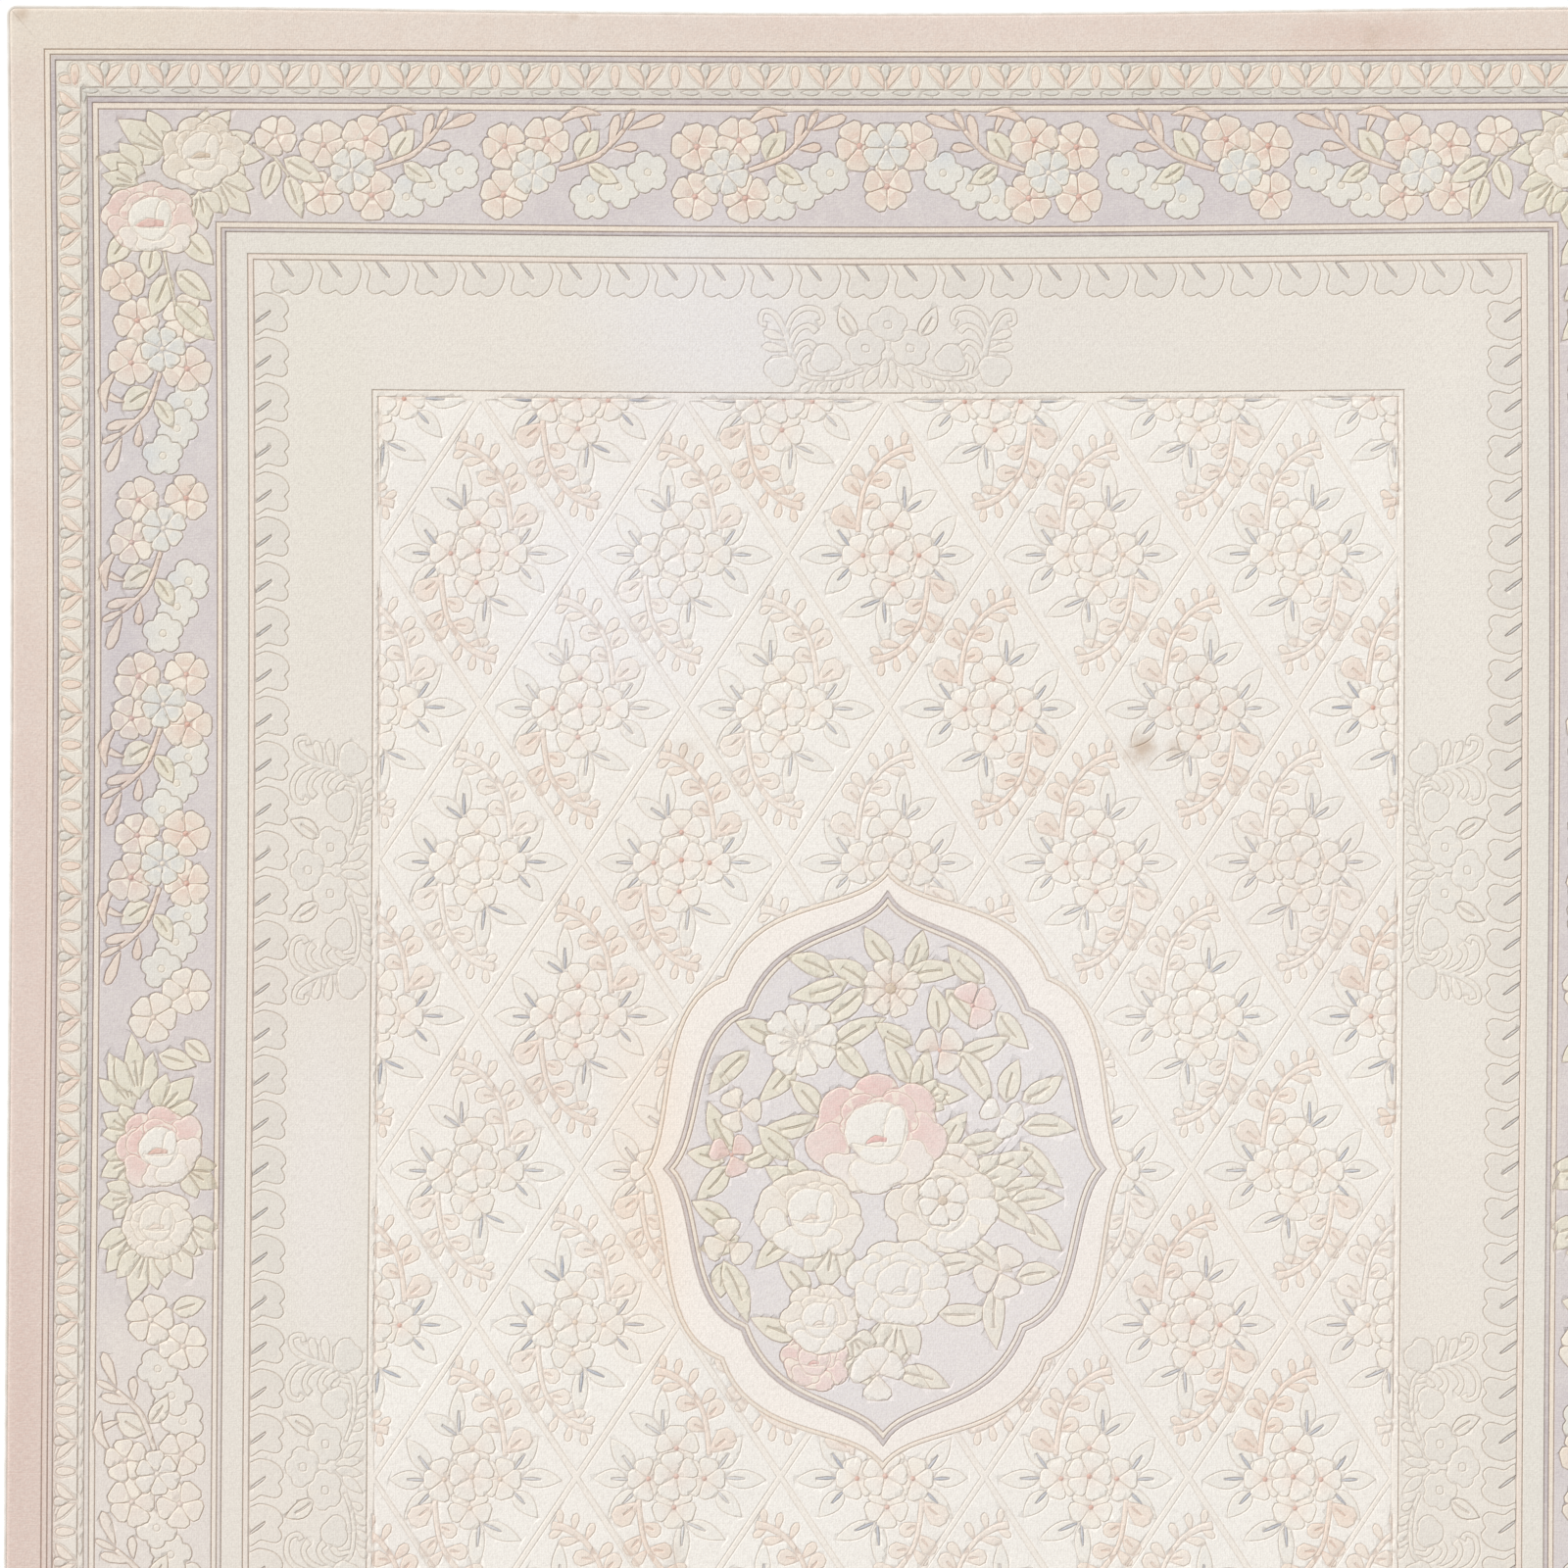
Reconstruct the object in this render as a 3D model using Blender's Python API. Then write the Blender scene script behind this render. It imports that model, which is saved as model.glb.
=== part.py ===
# A hand-knotted rug with a carved pile, lying flat: one knotted body and the cord overcast round its edge.
import math

import bmesh
import bpy
import numpy as np
from mathutils import Vector
from mathutils.geometry import delaunay_2d_cdt
from mathutils.geometry import interpolate_bezier
from mathutils.geometry import intersect_line_line_2d

# The whole rug, over its edge cords
RUG_WIDTH = 2.742
RUG_LENGTH = 3.630
PILE_HEIGHT = 0.014
CORNER_RADIUS = 0.015
CORNER_STEPS = 5

# The overcast edge
CORD_RADIUS = 0.0029
CORD_REST = 0.0001
SEAT_GAP = 0.0003
CORD_ROUNDNESS = 2

# The pile stands lower at the very edge, where it is sheared round
EDGE_DROP = 0.0035
EDGE_ROUND = 0.005

# Every carved line is a V in the pile
CARVE_DEPTH = 0.003
CARVE_HALF = 0.0025

# The weaver's drift: how far the sides sway and the ends bow in
SIDE_SWAY = 0.0055
END_BOW = 0.006

# Straight runs are stepped so that they follow the drift
BODY_STEP = 0.20
LINE_STEP = 0.32

# The carved border lines, as distances in from the outer edge
BORDER_LINES = [
    {"side": 0.060, "end": 0.070},
    {"side": 0.077, "end": 0.087},
    {"side": 0.134, "end": 0.153},
    {"side": 0.143, "end": 0.163},
    {"side": 0.325, "end": 0.338},
    {"side": 0.340, "end": 0.353},
    {"side": 0.374, "end": 0.387},
    {"side": 0.383, "end": 0.396},
    {"side": 0.567, "end": 0.598},
]

# The row of leaves that points into the plain field
LEAF_ROW = {"root_side": 0.404, "root_end": 0.414, "reach": 0.036, "along_side": 40, "along_end": 27}
LEAF_SHOULDERS = (0.30, 0.80)

# The diamond lattice fills the middle
FIELD_SIDE = 0.576
FIELD_END = 0.608
DIAMONDS_ACROSS = 5
DIAMONDS_ALONG = 5
LATTICE_CORD_HALF = 0.0055

# The centre medallion: a quarter of each outline is two curves, from its top point by its notch to its side
MEDALLION_LINES = [
    {"top": 0.472, "top_pull": (0.043, 0.401), "notch_pull_in": (0.207, 0.436), "notch": (0.254, 0.301),
     "notch_pull_out": (0.367, 0.260), "side_pull": (0.329, 0.061), "side": 0.377},
    {"top": 0.425, "top_pull": (0.038, 0.360), "notch_pull_in": (0.168, 0.383), "notch": (0.217, 0.249),
     "notch_pull_out": (0.314, 0.214), "side_pull": (0.283, 0.054), "side": 0.337},
]
MEDALLION_STEPS = 6

SAME_PLACE = 0.0001
INSIDE_ONLY = 1

# Worked out from the sizes above
HALF_WIDTH = RUG_WIDTH / 2
HALF_LENGTH = RUG_LENGTH / 2
BODY_INSET = 2 * CORD_RADIUS + SEAT_GAP
FIELD_X = HALF_WIDTH - FIELD_SIDE
FIELD_Y = HALF_LENGTH - FIELD_END


def drift(x, y):
    # Where a point of the drawing lies on the woven rug
    sway = SIDE_SWAY * math.sin(math.pi * y / HALF_LENGTH)
    bow = END_BOW * (1 + math.cos(math.pi * x / HALF_WIDTH)) * y / HALF_LENGTH
    return x + sway, y - bow


def stepped(start, end, step):
    # Points along a straight run, its end left out
    count = max(1, round(math.dist(start, end) / step))
    run_x = end[0] - start[0]
    run_y = end[1] - start[1]
    return [(start[0] + run_x * i / count, start[1] + run_y * i / count) for i in range(count)]


def rectangle_corners(half_x, half_y):
    return [(-half_x, half_y), (-half_x, -half_y), (half_x, -half_y), (half_x, half_y)]


def rectangle(half_x, half_y, step):
    corners = rectangle_corners(half_x, half_y)
    points = []
    for i, corner in enumerate(corners):
        points += stepped(corner, corners[(i + 1) % 4], step)
    return points


def corner_points(inset, corner):
    # The points of one rounded corner, counted anticlockwise from the right
    start = corner * math.pi / 2
    radius = CORNER_RADIUS - inset
    centre_x = math.copysign(HALF_WIDTH - CORNER_RADIUS, math.cos(start + math.pi / 4))
    centre_y = math.copysign(HALF_LENGTH - CORNER_RADIUS, math.sin(start + math.pi / 4))
    angles = [start + math.pi / 2 * i / CORNER_STEPS for i in range(CORNER_STEPS + 1)]
    return [(centre_x + radius * math.cos(angle), centre_y + radius * math.sin(angle)) for angle in angles]


def edge_run(inset, side):
    # One side of the rounded outline, from the flat in the middle of one corner to that of the next
    half = (CORNER_STEPS + 1) // 2
    first = corner_points(inset, side)[half:]
    last = corner_points(inset, side + 1)[:half]
    return first + stepped(first[-1], last[0], BODY_STEP)[1:] + last


def cord_run(side):
    # The flat in the middle of a corner is where two cords meet, each half a gap short of the other
    run = edge_run(CORD_RADIUS, side)
    before = Vector(corner_points(CORD_RADIUS, side)[CORNER_STEPS // 2])
    after = Vector(corner_points(CORD_RADIUS, side + 1)[(CORNER_STEPS + 1) // 2])
    start = Vector(run[0])
    end = Vector(run[-1])
    flat = start - before
    first = start - flat / 2 + flat.normalized() * SEAT_GAP / 2
    flat = after - end
    last = end + flat / 2 - flat.normalized() * SEAT_GAP / 2
    return [tuple(first)] + run + [tuple(last)]


def medallion_outline(line):
    quarter = []
    notch = Vector(line["notch"])
    curves = [
        (Vector((0, line["top"])), Vector(line["top_pull"]), Vector(line["notch_pull_in"]), notch),
        (notch, Vector(line["notch_pull_out"]), Vector(line["side_pull"]), Vector((line["side"], 0))),
    ]
    for start, pull_out, pull_in, end in curves:
        points = interpolate_bezier(start, pull_out, pull_in, end, MEDALLION_STEPS + 1)
        quarter += [(point[0], point[1]) for point in points[:-1]]
    right_up = quarter + [(line["side"], 0.0)]
    right_down = [(x, -y) for x, y in reversed(quarter)]
    right = right_up + right_down
    left = [(-x, y) for x, y in reversed(right[1:-1])]
    return right + left


def leaf_row_outline():
    # Each leaf is a root point and the two shoulders of its blunt tip
    half_x = HALF_WIDTH - LEAF_ROW["root_side"]
    half_y = HALF_LENGTH - LEAF_ROW["root_end"]
    corners = [Vector(corner) for corner in rectangle_corners(half_x, half_y)]
    points = []
    for i, corner in enumerate(corners):
        run = corners[(i + 1) % 4] - corner
        count = LEAF_ROW["along_side"] if i % 2 == 0 else LEAF_ROW["along_end"]
        inward = Vector((-run.y, run.x)).normalized() * LEAF_ROW["reach"]
        for leaf in range(count):
            points.append(tuple(corner + run * leaf / count))
            for place in LEAF_SHOULDERS:
                points.append(tuple(corner + run * (leaf + place) / count + inward))
    return points


def offset_loop(points, distance):
    # A closed outline moved to its left by a distance, with mitred corners
    moved = []
    for i, point in enumerate(points):
        before = Vector(point) - Vector(points[i - 1])
        after = Vector(points[(i + 1) % len(points)]) - Vector(point)
        normal_before = Vector((-before.y, before.x)).normalized()
        normal_after = Vector((-after.y, after.x)).normalized()
        middle = normal_before + normal_after
        mitre = middle / max(middle.length_squared / 2, 0.35)
        moved.append(tuple(Vector(point) + mitre * distance))
    return moved


def inside(x, y, outline):
    count = 0
    for i, (x1, y1) in enumerate(outline):
        x2, y2 = outline[i - 1]
        if (y1 > y) != (y2 > y) and x < x1 + (x2 - x1) * (y - y1) / (y2 - y1):
            count += 1
    return count % 2 == 1


def closed_edges(points):
    return [(point, points[(i + 1) % len(points)]) for i, point in enumerate(points)]


def cut_away(edges, outline):
    # The parts of some straight edges that lie outside an outline
    kept = []
    for start, end in edges:
        stops = [0.0, 1.0]
        run = Vector(end) - Vector(start)
        for first, second in closed_edges(outline):
            hit = intersect_line_line_2d(start, end, first, second)
            if hit:
                stops.append((hit - Vector(start)).dot(run) / run.length_squared)
        stops.sort()
        for low, high in zip(stops, stops[1:]):
            piece_start = Vector(start) + run * low
            piece_end = Vector(start) + run * high
            middle = (piece_start + piece_end) / 2
            if (high - low) * run.length > SAME_PLACE and not inside(middle.x, middle.y, outline):
                kept.append((tuple(piece_start), tuple(piece_end)))
    return kept


def in_field(x, y):
    return abs(x) < FIELD_X + SAME_PLACE and abs(y) < FIELD_Y + SAME_PLACE


def lattice_cells():
    # The corners of every diamond, and of the half diamonds along the frame
    half_x = FIELD_X / DIAMONDS_ACROSS
    half_y = FIELD_Y / DIAMONDS_ALONG
    cells = []
    for column in range(-DIAMONDS_ACROSS, DIAMONDS_ACROSS + 1):
        for row in range(-DIAMONDS_ALONG, DIAMONDS_ALONG + 1):
            if (column + row) % 2 == 0:
                x = column * half_x
                y = row * half_y
                corners = [(x + half_x, y), (x, y + half_y), (x - half_x, y), (x, y - half_y)]
                cells.append([corner for corner in corners if in_field(*corner)])
    return [cell for cell in cells if len(cell) > 2]


def carving():
    # Groove bottoms, and the lines of full pile height beside them
    bottoms = []
    crests = []
    for line in BORDER_LINES:
        half_x = HALF_WIDTH - line["side"]
        half_y = HALF_LENGTH - line["end"]
        bottoms += closed_edges(rectangle(half_x, half_y, LINE_STEP))
        crests += closed_edges(rectangle(half_x + CARVE_HALF, half_y + CARVE_HALF, LINE_STEP))
        crests += closed_edges(rectangle(half_x - CARVE_HALF, half_y - CARVE_HALF, LINE_STEP))

    leaves = leaf_row_outline()
    bottoms += closed_edges(leaves)
    crests += closed_edges(offset_loop(leaves, CARVE_HALF))
    crests += closed_edges(offset_loop(leaves, -CARVE_HALF))

    medallion = medallion_outline(MEDALLION_LINES[0])
    for line in MEDALLION_LINES:
        outline = medallion_outline(line)
        bottoms += closed_edges(outline)
        crests += closed_edges(offset_loop(outline, CARVE_HALF))
        crests += closed_edges(offset_loop(outline, -CARVE_HALF))

    clear_of_medallion = offset_loop(medallion, CARVE_HALF)
    for cell in lattice_cells():
        groove = offset_loop(cell, LATTICE_CORD_HALF)
        plain = offset_loop(cell, LATTICE_CORD_HALF + CARVE_HALF)
        bottoms += cut_away(closed_edges(groove), clear_of_medallion)
        crests += cut_away(closed_edges(plain), clear_of_medallion)
        crests += cut_away(closed_edges(cell), clear_of_medallion)
    return bottoms, crests


def distance_to_edges(points, edges):
    points = np.array(points)
    nearest = np.full(len(points), np.inf)
    for start, end in edges:
        start = np.array(start)
        run = np.array(end) - start
        along = np.clip(((points - start) @ run) / (run @ run), 0, 1)
        nearest = np.minimum(nearest, np.linalg.norm(points - start - along[:, None] * run, axis=1))
    return nearest


def material(name, color, roughness):
    made = bpy.data.materials.new(name)
    made.use_nodes = True
    shader = made.node_tree.nodes["Principled BSDF"]
    shader.inputs["Base Color"].default_value = (*color, 1)
    shader.inputs["Roughness"].default_value = roughness
    shader.inputs["Metallic"].default_value = 0
    made.diffuse_color = (*color, 1)
    return made


def make_rug_body(collection, wool):
    # The carved top is a height field over the drawing, which no primitive or modifier gives
    outline = []
    for side in range(4):
        outline += edge_run(BODY_INSET, side)
    bottoms, crests = carving()
    rim = closed_edges(outline)
    round_edge = closed_edges(offset_loop(outline, EDGE_ROUND))

    points = []
    edges = []
    for start, end in rim + round_edge + bottoms + crests:
        edges.append((len(points), len(points) + 1))
        points += [Vector(start), Vector(end)]
    points, _, faces, *_ = delaunay_2d_cdt(points, edges, [], INSIDE_ONLY, SAME_PLACE, False)

    flat = [tuple(point) for point in points]
    carved = np.maximum(0, 1 - distance_to_edges(flat, bottoms) / CARVE_HALF) * CARVE_DEPTH
    rounded = np.maximum(0, 1 - distance_to_edges(flat, rim) / EDGE_ROUND) * EDGE_DROP
    heights = PILE_HEIGHT - np.maximum(carved, rounded)

    bm = bmesh.new()
    verts = [bm.verts.new((*drift(x, y), z)) for (x, y), z in zip(flat, heights)]
    for face in faces:
        bm.faces.new([verts[i] for i in face])
    bmesh.ops.dissolve_degenerate(bm, dist=SAME_PLACE, edges=bm.edges)
    bmesh.ops.recalc_face_normals(bm, faces=bm.faces)
    if sum(face.normal.z for face in bm.faces) < 0:
        bmesh.ops.reverse_faces(bm, faces=bm.faces)

    # The side wall is drawn down from the rim and closed by the flat back
    border = [edge for edge in bm.edges if edge.is_boundary]
    drawn = bmesh.ops.extrude_edge_only(bm, edges=border)["geom"]
    for vert in [item for item in drawn if isinstance(item, bmesh.types.BMVert)]:
        vert.co.z = 0
    back = [item for item in drawn if isinstance(item, bmesh.types.BMEdge)]
    bmesh.ops.edgeloop_fill(bm, edges=back)
    bmesh.ops.recalc_face_normals(bm, faces=bm.faces)

    mesh = bpy.data.meshes.new("knotted_rug")
    bm.to_mesh(mesh)
    bm.free()
    body = bpy.data.objects.new("knotted_rug", mesh)
    collection.objects.link(body)
    mesh.materials.append(wool)


def make_edge_cord(name, side, collection, yarn):
    run = cord_run(side)
    curve = bpy.data.curves.new(name, "CURVE")
    curve.dimensions = "3D"
    curve.bevel_depth = CORD_RADIUS
    curve.bevel_resolution = CORD_ROUNDNESS
    curve.use_fill_caps = True
    spline = curve.splines.new("POLY")
    spline.points.add(len(run) - 1)
    for point, (x, y) in zip(spline.points, run):
        point.co = (*drift(x, y), CORD_RADIUS + CORD_REST, 1)
    cord = bpy.data.objects.new(name, curve)
    collection.objects.link(cord)
    curve.materials.append(yarn)


def main():
    for existing in list(bpy.data.objects):
        bpy.data.objects.remove(existing, do_unlink=True)
    collection = bpy.data.collections.new("carved_pile_rug")
    bpy.context.scene.collection.children.link(collection)
    wool = material("cream_wool_pile", (0.78, 0.72, 0.63), 0.95)
    yarn = material("overcast_yarn", (0.72, 0.69, 0.68), 0.9)
    make_rug_body(collection, wool)
    for side, name in enumerate(("end_cord_far", "side_cord_left", "end_cord_near", "side_cord_right")):
        make_edge_cord(name, side, collection, yarn)


main()
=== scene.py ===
import math
import random
import bpy
import numpy as np
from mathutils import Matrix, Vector, kdtree
from mathutils.geometry import delaunay_2d_cdt


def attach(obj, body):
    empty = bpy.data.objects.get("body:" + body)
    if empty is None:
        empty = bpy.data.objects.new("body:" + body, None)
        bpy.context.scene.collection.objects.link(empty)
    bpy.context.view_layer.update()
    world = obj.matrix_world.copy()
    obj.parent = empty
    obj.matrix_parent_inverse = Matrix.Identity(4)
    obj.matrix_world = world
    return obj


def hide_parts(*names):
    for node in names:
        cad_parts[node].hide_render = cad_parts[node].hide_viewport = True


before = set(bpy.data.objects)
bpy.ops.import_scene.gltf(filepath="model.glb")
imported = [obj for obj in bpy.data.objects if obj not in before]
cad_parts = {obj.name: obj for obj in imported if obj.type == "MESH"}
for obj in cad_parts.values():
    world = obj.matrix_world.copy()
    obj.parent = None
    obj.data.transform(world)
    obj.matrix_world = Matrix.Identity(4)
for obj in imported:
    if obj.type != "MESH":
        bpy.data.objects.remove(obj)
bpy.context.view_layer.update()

bpy.ops.object.select_all(action="DESELECT")
dice = random.Random(7)

# The rug, in millimetres until its meshes are made; the drawing is laid out round its middle
rug = {
    "width": 2742.0, "length": 3630.0, "cornerRadius": 15.0, "cornerSteps": 5,
    "bodyInset": 6.1, "pileTop": 14.0, "edgeDrop": 3.5, "edgeRound": 5.0, "pileFoot": 1.2,
    "carveDepth": 2.4, "carveHalf": 1.7,
    "sideSway": 5.5, "endBow": 6.0, "bowAt": (0, 1475, 1615, 1755, 1815), "bowShare": (1, 1, 0.4, 0.35, 1),
}
halfWidth = rug["width"] / 2
halfLength = rug["length"] / 2

# Dye colours, as seen in daylight (red, green, blue up to 255)
dyes = {
    "outerBand": (230, 212, 199), "creamLine": (243, 229, 211), "lavenderLine": (193, 182, 185),
    "guardGround": (236, 230, 217), "guardStrip": (219, 214, 203), "guardPetal": (235, 204, 181),
    "guardBud": (216, 214, 204), "guardRing": (240, 232, 217),
    "ground": (212, 203, 205), "mintBand": (232, 228, 218), "pinkLine": (240, 225, 212),
    "plain": (237, 231, 221), "leafRow": (229, 223, 213), "lattice": (248, 241, 231),
    "cell": (250, 246, 239), "peach": (236, 215, 195), "peachDeep": (222, 170, 152),
    "rose": (234, 190, 178), "creamPetal": (242, 234, 219), "mint": (229, 228, 218), "sky": (208, 214, 221),
    "blossom": (232, 230, 220), "olive": (229, 223, 199), "oliveDeep": (202, 194, 168),
    "branch": (233, 208, 190), "tan": (198, 168, 128), "pinkPetal": (239, 208, 201),
    "pinkDeep": (231, 163, 155), "white": (246, 242, 233), "slate": (170, 180, 197),
    "fern": (244, 225, 209), "band": (252, 244, 236), "medallionGround": (224, 218, 220),
    "rim": (245, 233, 216), "ornament": (232, 227, 218), "vein": (238, 230, 212),
    "cellPetal": (251, 247, 238),
}

print("drawing the pattern")
patches = []
ridges = []  # lines beside the long grooves, so that their walls stay even
families = [0]


def drift(x, y):  # the weaver's drift: where a point of the drawing lies on the rug
    sway = rug["sideSway"] * np.sin(np.pi * y / halfLength)
    bow = rug["endBow"] * (1 + np.cos(np.pi * x / halfWidth)) * y / halfLength
    bow = bow * np.interp(np.abs(y), rug["bowAt"], rug["bowShare"])
    return x + sway, y - bow


def mixDye(first, second, share):
    return tuple(a + (b - a) * share for a, b in zip(first, second))


def newGroup():
    return len(patches) + 1000


def paint(points, dye, group=None, rim=0.0, glow=None, cut=1.0, reach=None, family=None):
    # one area of a single dye; later areas lie over earlier ones
    color = dyes[dye] if isinstance(dye, str) else dye
    group = newGroup() if group is None else group
    patches.append({"points": points, "color": color, "group": group, "rim": rim, "glow": glow, "cut": cut,
                    "reach": reach or points, "family": -len(patches) - 1 if family is None else family})


def placed(x, y, turn=0.0, flip=1):
    c = math.cos(math.radians(turn))
    s = math.sin(math.radians(turn))
    return lambda u, v: (x + c * u * flip - s * v, y + s * u * flip + c * v)


def framed(origin, along, across):
    return lambda u, v: (origin[0] + along[0] * u + across[0] * v, origin[1] + along[1] * u + across[1] * v)


def stationed(start, along, across, distance):
    # a frame that stands some way along a line
    return framed((start[0] + along[0] * distance, start[1] + along[1] * distance), along, across)


def smoothRun(points, steps=4):
    run = []
    ends = [points[0]] + list(points) + [points[-1]]
    for i in range(1, len(ends) - 2):
        p0, p1, p2, p3 = (Vector(p[:2]) for p in ends[i - 1:i + 3])
        for k in range(steps):
            t = k / steps
            run.append(0.5 * (2 * p1 + (p2 - p0) * t + (2 * p0 - 5 * p1 + 4 * p2 - p3) * t * t
                              + (3 * p1 - p0 - 3 * p2 + p3) * t ** 3))
    run.append(Vector(ends[-1][:2]))
    return run


def petalShape(start, end, width, base=0.25, steps=5):
    # a round-ended petal, narrow at its start
    start = Vector(start)
    axis = Vector(end) - start
    side = Vector((-axis.y, axis.x)).normalized() * width / 2
    left = []
    right = []
    for i in range(steps + 1):
        turn = math.pi * i / steps
        t = (1 - math.cos(turn)) / 2
        reach = math.sin(turn) ** 0.75 * (base + (1 - base) * min(1, t * 1.5))
        middle = start + axis * t
        left.append(tuple(middle + side * reach))
        right.append(tuple(middle - side * reach))
    return left + right[-2:0:-1]


def leafShape(start, end, width, bend=0.0, steps=6, widest=0.42):
    # pointed at both ends, curved to its left by a share of its length
    start = Vector(start)
    axis = Vector(end) - start
    normal = Vector((-axis.y, axis.x))
    side = normal.normalized() * width / 2
    power = math.log(0.5) / math.log(widest)
    left = []
    right = []
    for i in range(steps + 1):
        t = i / steps
        middle = start + axis * t + normal * bend * math.sin(math.pi * t)
        reach = math.sin(math.pi * t ** power) ** 0.85 if 0 < i < steps else 0
        left.append(tuple(middle + side * reach))
        right.append(tuple(middle - side * reach))
    return left + right[-2:0:-1]


def ribbonShape(points, widths, steps=3):
    run = smoothRun(points, steps)
    count = len(run) - 1
    left = []
    right = []
    for i, point in enumerate(run):
        ahead = run[min(i + 1, count)] - run[max(i - 1, 0)]
        side = Vector((-ahead.y, ahead.x)).normalized()
        place = i / count * (len(widths) - 1)
        low = min(int(place), len(widths) - 2)
        half = (widths[low] + (widths[low + 1] - widths[low]) * (place - low)) / 2
        left.append(tuple(point + side * half))
        right.append(tuple(point - side * half))
    return left + right[::-1]


def lobedShape(x, y, radius, lobes=5, depth=0.12, turn=0.0, steps=20):
    # round lobes with sharp notches between them
    points = []
    for i in range(steps):
        angle = 2 * math.pi * i / steps
        reach = radius * (1 + depth - 2 * depth * (1 - abs(math.cos(lobes * angle / 2))) ** 1.4)
        points.append((x + reach * math.cos(angle + math.radians(turn)),
                       y + reach * math.sin(angle + math.radians(turn))))
    return points


def drawn(shape, place):
    return [place(u, v) for u, v in shape]


def newFamily():
    families[0] += 1
    return families[0]


# Widths of the slit in a leaf, from its root to its tip
slitWidth = (1.6, 2.6, 1.4)

# One petal of an open flower: distance from the eye, and share of the petal's half angle
fanPetal = ((0.02, 0), (0.40, -1), (0.74, -1), (0.91, -0.84), (0.99, -0.48), (0.96, 0), (0.99, 0.48),
            (0.91, 0.84), (0.74, 1), (0.40, 1))


def fanShape(x, y, radius, angle, half):
    return [(x + radius * r * math.cos(angle + half * share),
             y + radius * r * math.sin(angle + half * share))
            for r, share in fanPetal]


def flower(place, x, y, radius, turn=0.0, petals=5, dye="peach", deep="peachDeep", share=1.0, rim=1.0,
           eye="rim", glow=0.6):
    # petals round an eye, each shaded towards the eye
    middle = place(x, y)
    color = mixDye(dyes["creamPetal"], dyes[dye], share)
    heart = mixDye(color, dyes[deep], glow)
    family = newFamily()
    for k in range(petals):
        angle = math.radians(turn + 360 * k / petals)
        outline = fanShape(x, y, radius * (1 + 0.05 * math.sin(3.1 * k + turn)), angle, math.pi / petals)
        paint(drawn(outline, place), color, rim=rim, glow=(middle, radius * 0.85, heart), family=family)
    paint(drawn(lobedShape(x, y, radius * 0.12, 1, 0, 0, 6), place), eye, cut=0.6)


def blossom(place, x, y, radius, turn, share):
    # a pale flower with a blue tint at its outer edge
    glow = (place(x, y + radius), radius * 1.1, mixDye(dyes["blossom"], dyes["sky"], share))
    paint(drawn(lobedShape(x, y, radius, 5, 0.13, turn, 30), place), "blossom", rim=0.35, glow=glow)
    paint(drawn(lobedShape(x, y, radius * 0.2, 1, 0, 0, 7), place), "vein", cut=0.5)


def leaf(place, start, end, width, bend=0.0, dye="olive", slit="oliveDeep"):
    # a pointed leaf with a short slit along its middle
    paint(drawn(leafShape(start, end, width, bend), place), dye, rim=0.5)
    root = Vector(start)
    axis = Vector(end) - root
    lift = Vector((-axis.y, axis.x)) * bend
    run = [root + axis * t + lift * math.sin(math.pi * t) for t in (0.12, 0.39, 0.66)]
    paint(drawn(ribbonShape(run, slitWidth, 2), place), slit, cut=0.8)


def serratedLeaf(place, start, end, width):
    # three pointed lobes on one stalk
    start = Vector(start)
    axis = Vector(end) - start
    normal = Vector((-axis.y, axis.x)).normalized()
    group = newGroup()
    for side in (-1, 1):
        root = start + axis * 0.1
        tip = start + axis * 0.68 + normal * side * width * 0.62
        paint(drawn(leafShape(root, tip, width * 0.66, 0.06 * side), place), "olive", group=group, rim=0.5)
    paint(drawn(leafShape(start, start + axis, width * 0.78), place), "olive", group=group, rim=0.5)
    for side in (-1, 0, 1):
        root = start + axis * 0.2 + normal * side * width * 0.10
        tip = start + axis * 0.58 + normal * side * width * 0.30
        paint(drawn(ribbonShape([root, (root + tip) / 2, tip], (1.6, 2.4, 1.4), 1), place), "oliveDeep",
              cut=0.8)


# Petals of a full bloom from the back to the front: direction, distance, size, share of the outer dye
bloomPetals = (
    (100, 0.64, 0.40, 1.0), (46, 0.66, 0.40, 0.9), (154, 0.66, 0.42, 1.0), (-4, 0.70, 0.40, 0.75),
    (204, 0.70, 0.38, 0.7), (316, 0.68, 0.38, 0.15), (240, 0.66, 0.34, 0.15), (276, 0.62, 0.36, 0.05),
    (128, 0.42, 0.36, 0.85), (62, 0.42, 0.34, 0.8),
)


def ruffleShape(x, y, size, heading, turn, squash=1.0):
    # a broad petal with a ruffled edge, wider than it is deep
    points = []
    for i in range(24):
        angle = 2 * math.pi * i / 24
        reach = size * (0.80 + 0.32 * abs(math.sin(1.5 * angle + turn)) + 0.06 * math.sin(angle + 2 * turn))
        out = reach * 0.84 * math.cos(angle)
        side = reach * 1.16 * math.sin(angle)
        points.append((x + out * math.cos(heading) - side * math.sin(heading),
                       y + (out * math.sin(heading) + side * math.cos(heading)) * squash))
    return points


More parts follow.
